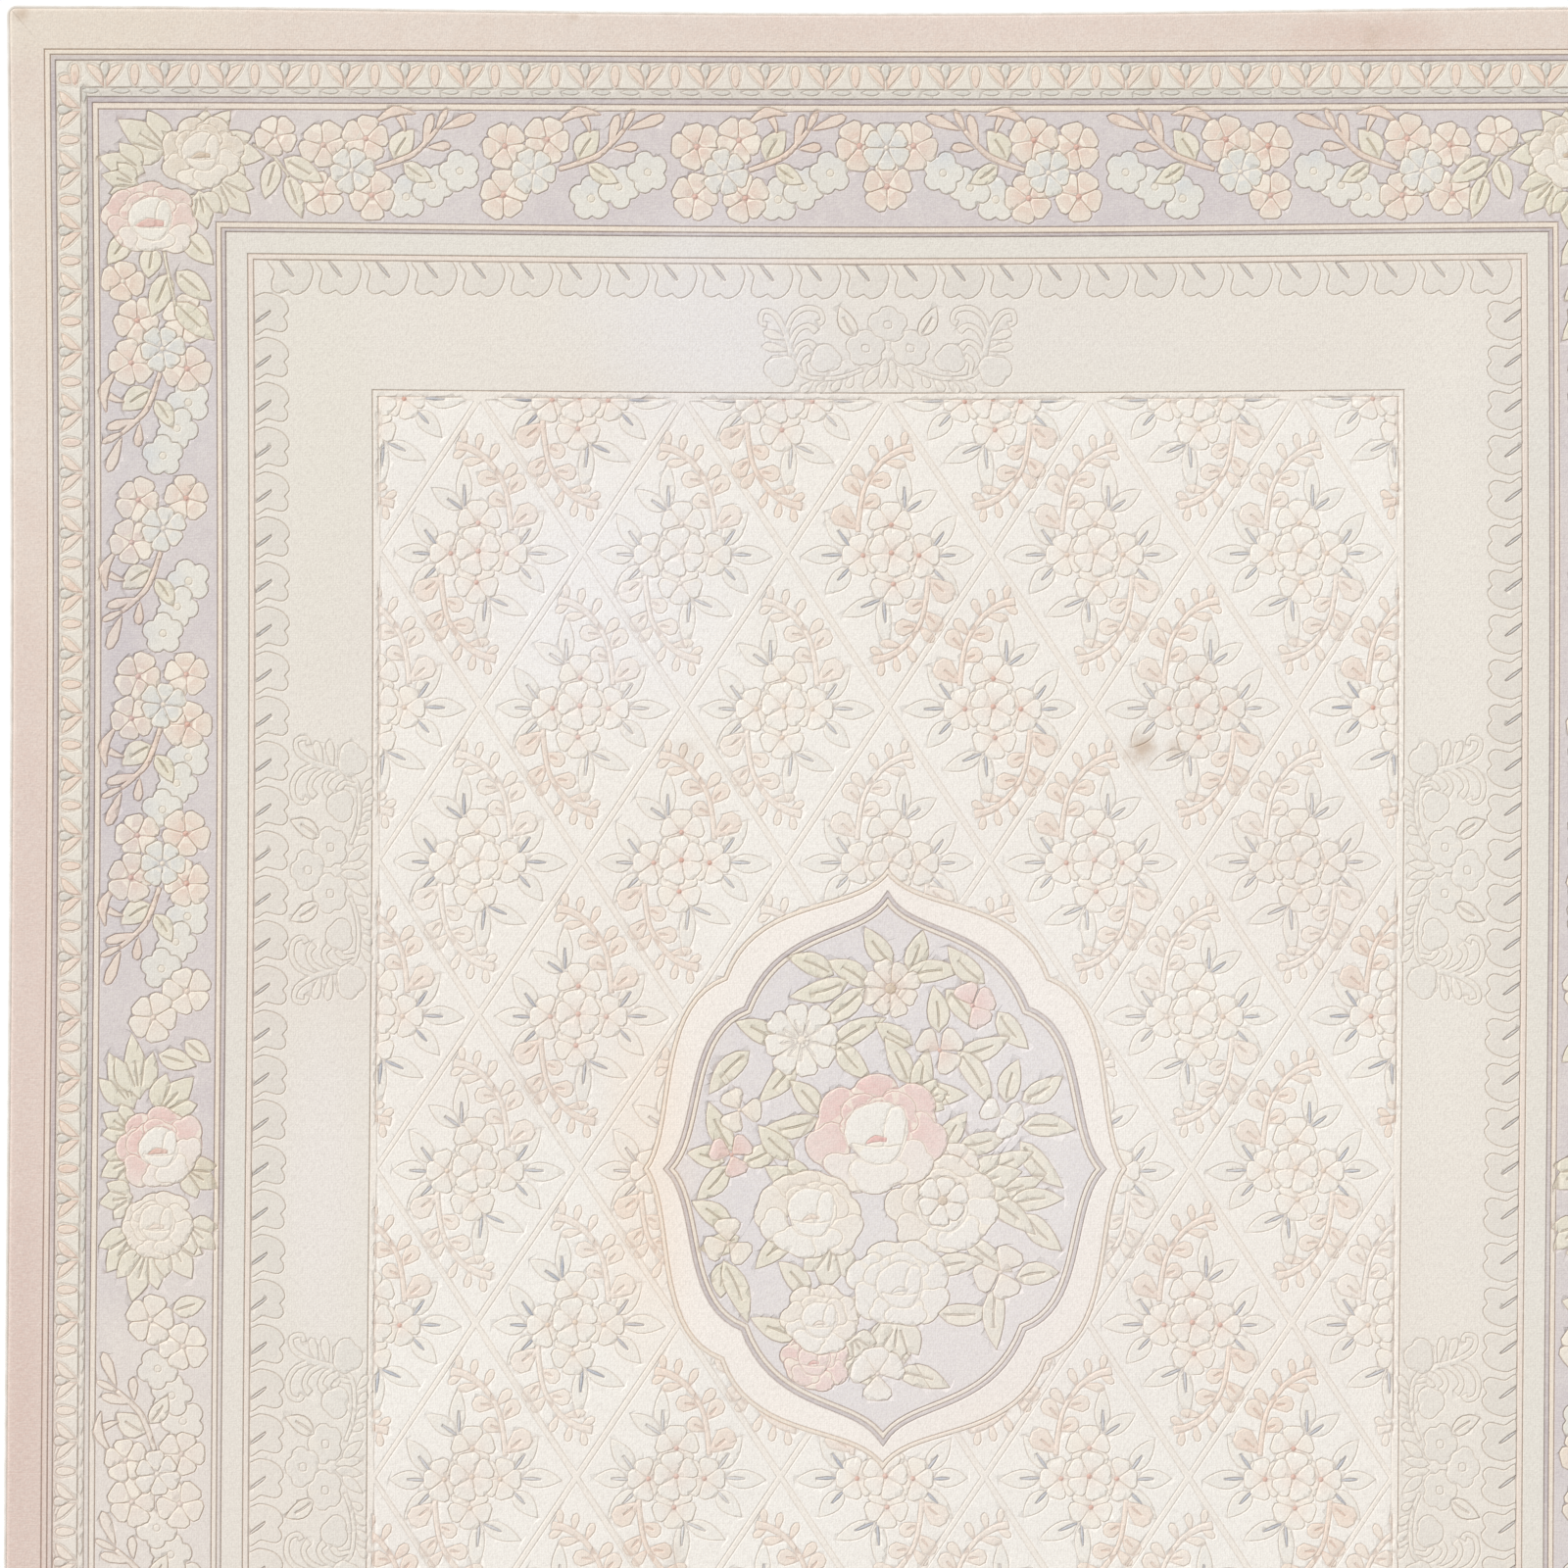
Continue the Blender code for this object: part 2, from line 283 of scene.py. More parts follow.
def peony(place, x, y, radius, turn, outer, deep, core="white", mouth="peachDeep", mouthSize=0.30,
          squash=0.9):
    # broad petals from the back to the front, then a cup with an opening at its top
    middle = place(x, y)
    family = newFamily()
    for heading, away, size, share in bloomPetals:
        angle = math.radians(heading + turn)
        away *= 1 + 0.10 * math.sin(heading * 0.7 + turn)
        color = mixDye(dyes[core], dyes[outer], share)
        heart = mixDye(color, dyes[deep], 0.95 * share)
        petal = ruffleShape(x + radius * away * math.cos(angle),
                            y + radius * away * math.sin(angle) * squash, radius * size, angle,
                            heading + turn, squash)
        paint(drawn(petal, place), color, rim=0.9, glow=(middle, radius * 1.2, heart), family=family)
    cup = radius * 0.46
    paint(drawn(lobedShape(x, y + cup * 0.06, cup, 3, 0.06, 50 + turn, 16), place), core, rim=0.9,
          family=family)
    fold = petalShape((x + cup * 0.42, y - cup * 0.95), (x + cup * 0.66, y + cup * 0.94), cup * 0.74, 0.7,
                      6)
    paint(drawn(fold, place), core, rim=0.9, family=family)
    reach = cup * mouthSize
    run = [(x - reach * 1.2, y - cup * 0.30), (x - reach * 0.2, y - cup * 0.14),
           (x + reach * 1.0, y - cup * 0.18)]
    paint(drawn(ribbonShape(run, (1.5, reach * 0.7, reach * 0.4), 3), place), mouth, family=family)
    lip = [(x - cup * 0.80, y - cup * 0.30), (x - cup * 0.30, y - cup * 0.62),
           (x + cup * 0.30, y - cup * 0.66), (x + cup * 0.78, y - cup * 0.34)]
    paint(drawn(ribbonShape(lip, (2, cup * 0.50, cup * 0.60, 2), 3), place), core, rim=0.9, family=family)


# The bands of the border, each from its outer line inwards
bands = [
    {"dye": "outerBand", "side": 6.1, "end": 6.1}, {"dye": "creamLine", "side": 60, "end": 70},
    {"dye": "lavenderLine", "side": 69, "end": 78}, {"dye": "guardGround", "side": 77, "end": 87},
    {"dye": "guardStrip", "side": 116, "end": 129}, {"dye": "lavenderLine", "side": 126, "end": 144},
    {"dye": "creamLine", "side": 134, "end": 153}, {"dye": "ground", "side": 143, "end": 163},
    {"dye": "creamLine", "side": 325, "end": 338}, {"dye": "lavenderLine", "side": 333, "end": 347},
    {"dye": "mintBand", "side": 340, "end": 353}, {"dye": "pinkLine", "side": 374, "end": 387},
    {"dye": "plain", "side": 383, "end": 396}, {"dye": "lattice", "side": 567, "end": 598},
]
fieldInset = {"side": 576, "end": 608}
lineStep = 24
mitreStep = 4
fieldX = halfWidth - fieldInset["side"]
fieldY = halfLength - fieldInset["end"]


def bandSides(side, end):
    # start, direction, inward direction and length of the four sides of a band's line, anticlockwise
    x = halfWidth - side
    y = halfLength - end
    return [
        ((-x, y), (0, -1), (1, 0), 2 * y), ((-x, -y), (1, 0), (0, 1), 2 * x),
        ((x, -y), (0, 1), (-1, 0), 2 * y), ((x, y), (-1, 0), (0, -1), 2 * x),
    ]


def steppedRun(start, end, step):
    count = max(1, round(math.dist(start, end) / step))
    return [(start[0] + (end[0] - start[0]) * i / count, start[1] + (end[1] - start[1]) * i / count)
            for i in range(count)]


def paintBands():
    for number, band in enumerate(bands):
        inner = bands[number + 1] if number + 1 < len(bands) else fieldInset
        outerX, outerY = halfWidth - band["side"], halfLength - band["end"]
        innerX, innerY = halfWidth - inner["side"], halfLength - inner["end"]
        outer = [(-outerX, outerY), (-outerX, -outerY), (outerX, -outerY), (outerX, outerY)]
        inside = [(-innerX, innerY), (-innerX, -innerY), (innerX, -innerY), (innerX, innerY)]
        for k in range(4):
            n = (k + 1) % 4
            mitre = steppedRun(outer[n], inside[n], mitreStep)
            back = steppedRun(outer[k], inside[k], mitreStep)[:0:-1]
            rim = steppedRun(outer[k], outer[n], lineStep) + mitre if number else outlineSide(k)
            rim += steppedRun(inside[n], inside[k], lineStep) + [inside[k]] + (back if number else [])
            paint(rim, band["dye"], group=number, reach=[outer[k], outer[n], inside[n], inside[k]])
        for away in ((-rug["carveHalf"], rug["carveHalf"]) if number else ()):
            corners = [(math.copysign(outerX - away, x), math.copysign(outerY - away, y)) for x, y in outer]
            sides = [steppedRun(corners[k], corners[(k + 1) % 4], lineStep) for k in range(4)]
            ridges.append(sum(sides, []) + [corners[0]])


def cornerPoints(inset, corner):
    start = corner * math.pi / 2
    radius = rug["cornerRadius"] - inset
    middleX = math.copysign(halfWidth - rug["cornerRadius"], math.cos(start + math.pi / 4))
    middleY = math.copysign(halfLength - rug["cornerRadius"], math.sin(start + math.pi / 4))
    angles = [start + math.pi / 2 * i / rug["cornerSteps"] for i in range(rug["cornerSteps"] + 1)]
    return [(middleX + radius * math.cos(angle), middleY + radius * math.sin(angle)) for angle in angles]


def outlineSide(k):
    # the body's rim along one side, from the middle of one corner to the middle of the next
    first = cornerPoints(rug["bodyInset"], k + 1)
    last = cornerPoints(rug["bodyInset"], k + 2)
    half = (rug["cornerSteps"] + 1) // 2
    startMiddle = tuple((Vector(first[half - 1]) + Vector(first[half])) / 2)
    endMiddle = tuple((Vector(last[half - 1]) + Vector(last[half])) / 2)
    run = steppedRun(first[-1], last[0], lineStep)[1:]
    return [startMiddle] + first[half:] + run + last[:half] + [endMiddle]


# The guard band: an oval, then two slanted petals that open outwards with a bud between them
guard = {"side": 77, "end": 87, "depthSide": 39, "depthEnd": 42, "period": 95, "margin": 30}


def paintGuard():
    for k, (start, along, inward, length) in enumerate(bandSides(guard["side"], guard["end"])):
        depth = guard["depthSide"] if k % 2 == 0 else guard["depthEnd"]
        run = length - 2 * guard["margin"]
        count = round(run / guard["period"])
        period = run / count
        for n in range(count + 1):
            place = stationed(start, along, inward, guard["margin"] + n * period)
            warm = dice.uniform(0.65, 1.1)
            petalDye = mixDye(dyes["creamPetal"], dyes["guardPetal"], warm)
            ring = petalShape((0, depth * 1.02), (0, depth * 0.02), 22, 0.6)
            paint(drawn(ring, place), "guardRing", cut=0.55)
            glow = (place(0, depth * 0.9), 24, mixDye(dyes["guardPetal"], dyes["rose"], 0.5))
            oval = petalShape((0, depth * 0.93), (0, depth * 0.12), 14.5, 0.7)
            paint(drawn(oval, place), petalDye, rim=0.45, glow=glow, cut=0.7)
            if n == count:
                continue
            root = (period / 2, depth * 1.05)
            for side in (-1, 1):
                tip = (period / 2 + side * 30, depth * 0.06)
                ringTip = (tip[0] + side * 2, tip[1] - 1)
                paint(drawn(leafShape(root, ringTip, 22, -0.10 * side, 6, 0.55), place), "guardRing",
                      cut=0.55)
                glow = (place(*root), 30, mixDye(dyes["guardPetal"], dyes["rose"], 0.6))
                petal = leafShape((root[0] + side * 2, root[1] - 3), (tip[0] - side * 1, tip[1] + 3), 13.5,
                                  -0.10 * side, 6, 0.55)
                paint(drawn(petal, place), petalDye, rim=0.45, glow=glow, cut=0.7)
                middle = period / 2 + side * period * 0.26
                oval = leafShape((middle - 15, depth * 1.12), (middle + 15, depth * 1.12), 9.5)
                paint(drawn(oval, place), "guardBud", cut=0.7)
            bud = petalShape((period / 2, depth * 0.66), (period / 2, depth * 0.03), 17, 0.2)
            paint(drawn(bud, place), "guardBud", rim=0.3)


# The row of scalloped leaves: one leaf, as shares of its period along and millimetres inwards
leafRow = {
    "side": 383, "end": 396, "countSide": 40, "countEnd": 27, "firstSide": 54, "firstEnd": 16,
    "outline": ((0.06, 0.3), (0.02, 7), (-0.03, 16), (0.00, 30), (0.08, 43), (0.22, 52), (0.38, 54),
                (0.50, 47), (0.60, 51), (0.74, 52), (0.84, 44), (0.82, 32), (0.78, 20), (0.83, 13),
                (0.90, 6), (0.92, 0.3)),
    "vein": ((0.64, 1.5), (0.52, 13), (0.38, 26)),
}


def paintLeafRow():
    for k, (start, along, inward, length) in enumerate(bandSides(leafRow["side"], leafRow["end"])):
        count = leafRow["countSide"] if k % 2 == 0 else leafRow["countEnd"]
        firstLeaf = leafRow["firstSide"] if k % 2 == 0 else leafRow["firstEnd"]
        period = (length - 2 * firstLeaf) / (count - 1)
        for n in range(count - 1):
            place = stationed(start, along, inward, firstLeaf + n * period)
            shape = [(u * period, v) for u, v in leafRow["outline"]]
            paint(drawn([tuple(p) for p in smoothRun(shape, 2)], place), "leafRow", rim=0.3, cut=0.75)
            vein = [(u * period, v) for u, v in leafRow["vein"]]
            paint(drawn(ribbonShape(vein, (2.4, 4.6, 2.6), 2), place),
                  mixDye(dyes["leafRow"], dyes["slate"], 0.35), cut=1.0)


# The flower border: a bunch of flowers and the garland that leads to the next bunch
bunch = {
    "peach": ((-39, 33), (27, 43), (-42, -42), (36, -44)), "mint": (5, -6), "radius": 36,
}
garland = {
    "branch": ((44, -2), (78, 9), (104, 20), (126, 40), (142, 58)), "branchWidth": (7, 9, 9, 8, 7),
    "fingers": (((138, 50), (158, 90), 12), ((120, 34), (134, 82), 17), ((126, 30), (164, 33), 16),
                ((148, 58), (205, 80), 19)),
    "scroll": (((46, 70), (74, 86), (108, 82)), (5, 17, 2)),
    "hook": (((82, 78), (88, 66), (91, 54)), (12, 9, 2)),
    "leaves": (((72, 12), (105, 58), 38, 0.05), ((88, 6), (134, -22), 28, -0.05)),
    "blossoms": ((92, -46), (134, -28), (178, -6)), "blossomRadius": 31,
}


def paintBunch(place, turn=0.0, four=True, share=1.0):
    spots = bunch["peach"] if four else bunch["peach"][:3]
    for k, (u, v) in enumerate(spots):
        flower(place, u, v, bunch["radius"] + dice.uniform(-1, 3), turn + 23 * k, 5, "peach", "peachDeep",
               0.50 * share, 1.0, "peachDeep", 0.62)
    flower(place, *bunch["mint"], bunch["radius"], turn + 10, 6, "mint", "sky", 1.0, 0.8, "rim", 0.7)


def paintGarland(place, scale=1.0):
    def spot(u, v):
        return u * scale, v
    for u, v in garland["blossoms"]:
        blossom(place, u * scale, v, garland["blossomRadius"] * (1.04 - 0.0006 * u), u,
                dice.uniform(0.2, 0.9))
    for start, end, width, bend in garland["leaves"]:
        leaf(place, spot(*start), spot(*end), width, bend)
    group = newGroup()
    for part, steps in (("scroll", 4), ("hook", 3)):
        run, widths = garland[part]
        paint(drawn(ribbonShape([spot(*p) for p in run], widths, steps), place), "branch", group=group,
              rim=0.3)
    group = newGroup()
    for start, end, width in garland["fingers"]:
        paint(drawn(petalShape(spot(*start), spot(*end), width, 0.3), place), "branch", group=group,
              rim=0.3)
    run = [spot(*p) for p in garland["branch"]]
    paint(drawn(ribbonShape(run, garland["branchWidth"], 3), place), "branch", group=group, rim=0.3)


# Distances of the bunches from the rug's corner, along each half side
flowerBorder = {"side": 234, "end": 250.5, "bunchSide": (531, 811, 1086, 1334, 1560),
                "bunchEnd": (532, 815, 1114)}


def paintFlowerBorder():
    x = halfWidth - flowerBorder["side"]
    y = halfLength - flowerBorder["end"]
    halves = []
    for sideways in (-1, 1):
        for upward in (-1, 1):
            corner = (sideways * halfWidth, upward * halfLength)
            halves.append(("side", (sideways * x, corner[1]), (0, -upward), (sideways, 0)))
            halves.append(("end", (corner[0], upward * y), (-sideways, 0), (0, upward)))
    for kind, origin, along, outward in halves:
        spots = flowerBorder["bunchSide"] if kind == "side" else flowerBorder["bunchEnd"]
        for n, spot in enumerate(spots):
            place = stationed(origin, along, outward, spot)
            nextSpot = spots[n + 1] if n + 1 < len(spots) else (halfWidth if kind == "end" else None)
            if nextSpot:
                paintGarland(place, max(0.95, (nextSpot - spot) / 290))
        for n, spot in enumerate(spots):
            place = stationed(origin, along, outward, spot)
            last = kind == "side" and n == len(spots) - 1
            if last:
                for u, v, radius in ((-22, -46, 39), (19, 6, 39)):
                    flower(place, u, v, radius, 40 + u, 5, "creamPetal", "peachDeep", 1.0, 1.0, "peach",
                           0.25)
            else:
                paintBunch(place, dice.uniform(0, 72), n % 2 == 0 or n > 1, dice.uniform(0.55, 1.0))
    for upward in (-1, 1):
        place = framed((0, upward * y), (1, 0), (0, upward))
        for u, v in ((-42, 35), (42, 35), (0, -26)):
            flower(place, u, v, 39, 90 + u, 5, "peach", "peachDeep", 0.55, 1.0, "peachDeep", 0.72)
        flower(place, 0, 32, 37, 90, 6, "mint", "sky", 1.0, 0.8, "rim", 0.7)


def paintCorner(place):
    # two full blooms on leaves, with small sprigs that lead into both borders
    for start, end, width in (((-10, 53), (-92, 106), 60), ((-50, 24), (-124, 48), 50),
                              ((-60, 4), (-118, 20), 40), ((40, 67), (84, 121), 50),
                              ((61, 60), (136, 47), 52), ((61, 17), (114, -40), 50),
                              ((33, -4), (46, -64), 46)):
        serratedLeaf(place, start, end, width)
    for start, end, width in (((-74, -72), (-110, -120), 36), ((-39, -92), (-47, -142), 36),
                              ((8, -70), (56, -120), 38), ((-14, -133), (-42, -202), 38),
                              ((-3, -130), (52, -176), 36), ((-6, -178), (56, -238), 38),
                              ((154, 44), (136, -17), 32), ((166, 46), (228, 10), 34),
                              ((172, 21), (194, -46), 30)):
        leaf(place, start, end, width)
    for run, widths in ((((-22, -98), (-14, -140), (-4, -184)), (5, 5, 4)),
                        (((118, 68), (150, 50), (174, 18)), (4, 5, 4))):
        paint(drawn(ribbonShape(run, widths, 3), place), "olive", rim=0.2)
    flower(place, 154, 81, 33, 45, 5, "peach", "peachDeep", 0.35)
    flower(place, -86, -146, 34, 80, 4, "peach", "peachDeep", 0.6)
    peony(place, 38, 55, 64, 15, "creamPetal", "tan", "creamPetal", "tan", 0.45)
    peony(place, -42, -50, 73, 0, "pinkPetal", "pinkDeep", "white", "pinkDeep", 0.6, 0.8)


def paintMidSide(place):
    for start, end, width in (((-35, 93), (-76, 182), 50), ((-26, 108), (-40, 212), 48),
                              ((0, 84), (58, 144), 56), ((-40, 59), (-84, 86), 46),
                              ((-35, 16), (-86, -12), 46), ((45, 0), (96, -30), 48),
                              ((-35, -43), (-88, -54), 46), ((-30, -98), (-76, -162), 54),
                              ((-11, -120), (-36, -208), 54), ((18, -108), (58, -172), 56),
                              ((48, -86), (94, -126), 46)):
        serratedLeaf(place, start, end, width)
    for start, end, width in (((2, 178), (62, 160), 34), ((44, 200), (84, 166), 30),
                              ((28, -222), (80, -206), 34)):
        leaf(place, start, end, width)
    peony(place, 2, -86, 60, 60, "creamPetal", "peach", "creamPetal", "peach", 0.4, 0.85)
    peony(place, 4, 32, 66, 30, "pinkPetal", "pinkDeep", "white", "peachDeep", 0.45, 1.0)


# One cell of the lattice: a cross of flowers, pointed leaves round it and two sprays
cell = {
    "flowers": ((-47, -3, 35, 180), (40, -3, 34, 0), (-4, 45, 35, 90), (-7, -48, 35, 270), (-4, 1, 38, 30)),
    "leaves": (((-78, -4), (-133, -2), 30), ((72, -2), (137, -5), 30), ((-68, 8), (-106, 60), 30),
               ((-64, -20), (-110, -66), 30), ((60, 10), (99, 65), 30), ((60, -22), (99, -64), 30),
               ((-25, 70), (-25, 141), 25), ((-28, 66), (-76, 99), 27), ((8, -70), (2, -150), 25),
               ((13, -72), (74, -99), 27)),
}
spray = {
    "stem": ((48, 34), (44, 72), (36, 106), (14, 140), (-14, 160), (-38, 166)),
    "stemWidth": (8, 8, 7, 8, 11, 13),
    "leaflets": ((0.06, -1, 50, 38, 0.9), (0.22, 1, 34, 26, 0.7), (0.30, -1, 40, 28, 0.7),
                 (0.44, 1, 38, 28, 0.8), (0.46, -1, 34, 18, 0.2), (0.60, -1, 32, 14, 0.2),
                 (0.64, 1, 38, 15, 0.2), (0.74, -1, 30, 13, 0.2), (0.84, 1, 28, 13, 0.2),
                 (0.88, -1, 28, 13, 0.2)),
}


def paintSpray(place, share):
    run = smoothRun(spray["stem"], 6)
    group = newGroup()
    color = mixDye(dyes["cell"], dyes["fern"], share)
    shade = mixDye(color, dyes["peachDeep"], 0.26 * share)
    for at, side, length, width, fullness in spray["leaflets"]:
        index = min(int(at * (len(run) - 1)), len(run) - 2)
        ahead = (run[index + 1] - run[index]).normalized()
        across = Vector((-ahead.y, ahead.x)) * side
        lean = (ahead * (0.85 if fullness < 0.5 else 0.7) + across).normalized()
        if fullness < 0.5 and side < 0:
            lean = (ahead * 0.35 + across).normalized()
        root = run[index]
        tip = root + lean * length
        paint(drawn(petalShape(root, tip, width, 0.25), place), color, rim=0.4,
              glow=(place(*root), length, shade), cut=0.8)
        if fullness > 0.5:
            inner = [root + lean * length * t for t in (0.25, 0.45, 0.62)]
            paint(drawn(ribbonShape(inner, (1.4, 2.6, 1.4), 1), place), shade, cut=0.8)
    paint(drawn(ribbonShape(spray["stem"], spray["stemWidth"], 3), place), mixDye(color, shade, 0.4),
          group=group, rim=0.3, cut=0.8)


def paintCell(x, y, flip):
    strength = dice.uniform(0.25, 1.0)
    blue = dice.uniform(0.35, 1.0)
    place = placed(x, y, 0, flip)
    petalColor = dice.choice(("cellPetal", "white", "cellPetal", "cellPetal"))
    for start, end, width in cell["leaves"]:
        paint(drawn(leafShape(start, end, width, dice.uniform(-0.03, 0.03)), place),
              mixDye(dyes["cell"], dyes["blossom"], 0.3), rim=0.3, cut=0.8)
        a = Vector(start)
        axis = Vector(end) - a
        run = [a + axis * t for t in (0.02, 0.24, 0.48)]
        paint(drawn(ribbonShape(run, (3.0, 5.0, 2.2), 2), place), mixDye(dyes["cell"], dyes["slate"], blue),
              cut=1.0)
    paintSpray(place, strength)
    paintSpray(placed(x - 14 * flip, y - 2, 180, flip), strength)
    for u, v, radius, turn in cell["flowers"]:
        eye = "peachDeep" if strength > 0.6 else "peach"
        flower(place, u, v, radius, turn, 5, petalColor, "peachDeep", 1.0, 0.5, eye, 0.08 + 0.24 * strength)


lattice = {"across": 5, "along": 5, "cordHalf": 4.6, "group": 500, "densify": 26}
latticeX = fieldX + 9
latticeY = fieldY + 10


def insetShape(points, distance):
    moved = []
    count = len(points)
    for i, point in enumerate(points):
        before = (Vector(point) - Vector(points[i - 1])).normalized()
        after = (Vector(points[(i + 1) % count]) - Vector(point)).normalized()
        middle = Vector((-before.y - after.y, before.x + after.x))
        moved.append(tuple(Vector(point) + middle / max(middle.length_squared / 2, 0.3) * distance))
    return moved


def inShape(x, y, outline):
    count = 0
    for i, (x1, y1) in enumerate(outline):
        x2, y2 = outline[i - 1]
        if (y1 > y) != (y2 > y) and x < x1 + (x2 - x1) * (y - y1) / (y2 - y1):
            count += 1
    return count % 2 == 1


# The medallion: a quarter of each outline is two curves that meet in a notch
medallion = {
    "outer": ((0, 472), (43, 401), (207, 436), (254, 301), (367, 260), (329, 61), (377, 0)),
    "inner": ((0, 425), (38, 360), (168, 383), (217, 249), (314, 214), (283, 54), (337, 0)),
    "steps": 18,
}


def medallionShape(line):
    quarter = []
    p = [Vector(point) for point in line]
    for a, b, c, d in ((p[0], p[1], p[2], p[3]), (p[3], p[4], p[5], p[6])):
        for k in range(medallion["steps"]):
            t = k / medallion["steps"]
            q = a * (1 - t) ** 3 + b * 3 * t * (1 - t) ** 2 + c * 3 * t * t * (1 - t) + d * t ** 3
            quarter.append((q.x, q.y))
    right = quarter + [tuple(p[6])] + [(x, -y) for x, y in reversed(quarter)]
    return [(x, y) for x, y in reversed(right)] + [(-x, y) for x, y in right[1:-1]]


def shownRuns(loop, hiding):
    # the parts of a loop that no later area hides
    runs = [[]]
    for x, y in loop:
        if inShape(x, y, hiding) or abs(x) > latticeX or abs(y) > latticeY:
            runs.append([])
        else:
            runs[-1].append((x, y))
    return [run for run in runs if len(run) > 1]


def paintLattice():
    outer = medallionShape(medallion["outer"])
    paint([(-latticeX, latticeY), (-latticeX, -latticeY), (latticeX, -latticeY), (latticeX, latticeY)],
          "lattice", group=len(bands) - 1)
    stepX = fieldX / lattice["across"]
    stepY = fieldY / lattice["along"]
    spots = []
    for column in range(-lattice["across"], lattice["across"] + 1):
        for row in range(-lattice["along"], lattice["along"] + 1):
            if (column + row) % 2 == 0:
                x = column * stepX
                y = row * stepY
                corners = [(x + stepX, y), (x, y + stepY), (x - stepX, y), (x, y - stepY)]
                corners = [c for c in corners if abs(c[0]) < fieldX + 1 and abs(c[1]) < fieldY + 1]
                if len(corners) == 2:
                    corners = [(x, y)] + corners
                    area = sum(a[0] * b[1] - b[0] * a[1]
                               for a, b in zip(corners, corners[1:] + corners[:1]))
                    corners = corners if area > 0 else corners[::-1]
                if not all(inShape(*c, outer) for c in corners):
                    for away in (0, -rug["carveHalf"], rug["carveHalf"]):
                        shape = insetShape(corners, lattice["cordHalf"] + away)
                        dense = []
                        for k, point in enumerate(shape):
                            dense += steppedRun(point, shape[(k + 1) % len(shape)], lattice["densify"])
                        if away:
                            ridges.extend(shownRuns(dense + dense[:1], outer))
                        else:
                            paint(dense, "cell", group=lattice["group"], cut=0.55)
                    spots.append((x, y))
    for x, y in spots:
        paintCell(x, y, -1 if x > -1 else 1)


# The blooms of the medallion, in millimetres from its middle; a small bloom has its petals' directions
blooms = (
    {"kind": "round", "x": 6, "y": 283, "size": 46, "dye": "creamPetal", "deep": "peachDeep"},
    {"kind": "many", "x": -132, "y": 202, "size": 60, "dye": "white", "deep": "blossom"},
    {"kind": "small", "x": 133, "y": 256, "size": 38, "dye": "pinkPetal", "deep": "pinkDeep",
     "petals": (112, 24, -58)},
    {"kind": "small", "x": 83, "y": 186, "size": 40, "dye": "creamPetal", "deep": "peachDeep",
     "petals": (145, 38, -55)},
    {"kind": "small", "x": 181, "y": 82, "size": 36, "dye": "white", "deep": "blossom",
     "petals": (150, 10, -70)},
    {"kind": "small", "x": -228, "y": 92, "size": 36, "dye": "creamPetal", "deep": "peach",
     "petals": (120, 0, 240)},
    {"kind": "small", "x": -240, "y": 22, "size": 36, "dye": "pinkPetal", "deep": "peachDeep",
     "petals": (160, 40, 290)},
    {"kind": "small", "x": -243, "y": -116, "size": 40, "dye": "creamPetal", "deep": "peach",
     "petals": (95, 200, 320)},
    {"kind": "small", "x": 181, "y": -162, "size": 44, "dye": "creamPetal", "deep": "peach",
     "petals": (60, 200, 290)},
    {"kind": "small", "x": -9, "y": -322, "size": 44, "dye": "white", "deep": "peach",
     "petals": (25, 100, 165, 270)},
    {"kind": "small", "x": 110, "y": 4, "size": 38, "dye": "creamPetal", "deep": "peachDeep",
     "petals": (20, 90, 160)},
    {"kind": "peony", "x": -108, "y": -300, "size": 54, "dye": "pinkPetal", "deep": "pinkDeep",
     "core": "pinkPetal"},
    {"kind": "peony", "x": -100, "y": -238, "size": 60, "dye": "creamPetal", "deep": "peach",
     "core": "white"},
    {"kind": "peony", "x": 90, "y": -60, "size": 86, "dye": "creamPetal", "deep": "peach", "core": "white"},
    {"kind": "round", "x": 90, "y": -50, "size": 40, "dye": "white", "deep": "peach"},
    {"kind": "peony", "x": -13, "y": 54, "size": 106, "dye": "pinkPetal", "deep": "pinkDeep",
     "core": "white"},
    {"kind": "peony", "x": -114, "y": -70, "size": 82, "dye": "creamPetal", "deep": "peach",
     "core": "white"},
    {"kind": "peony", "x": 25, "y": -184, "size": 78, "dye": "white", "deep": "blossom", "core": "white"},
)
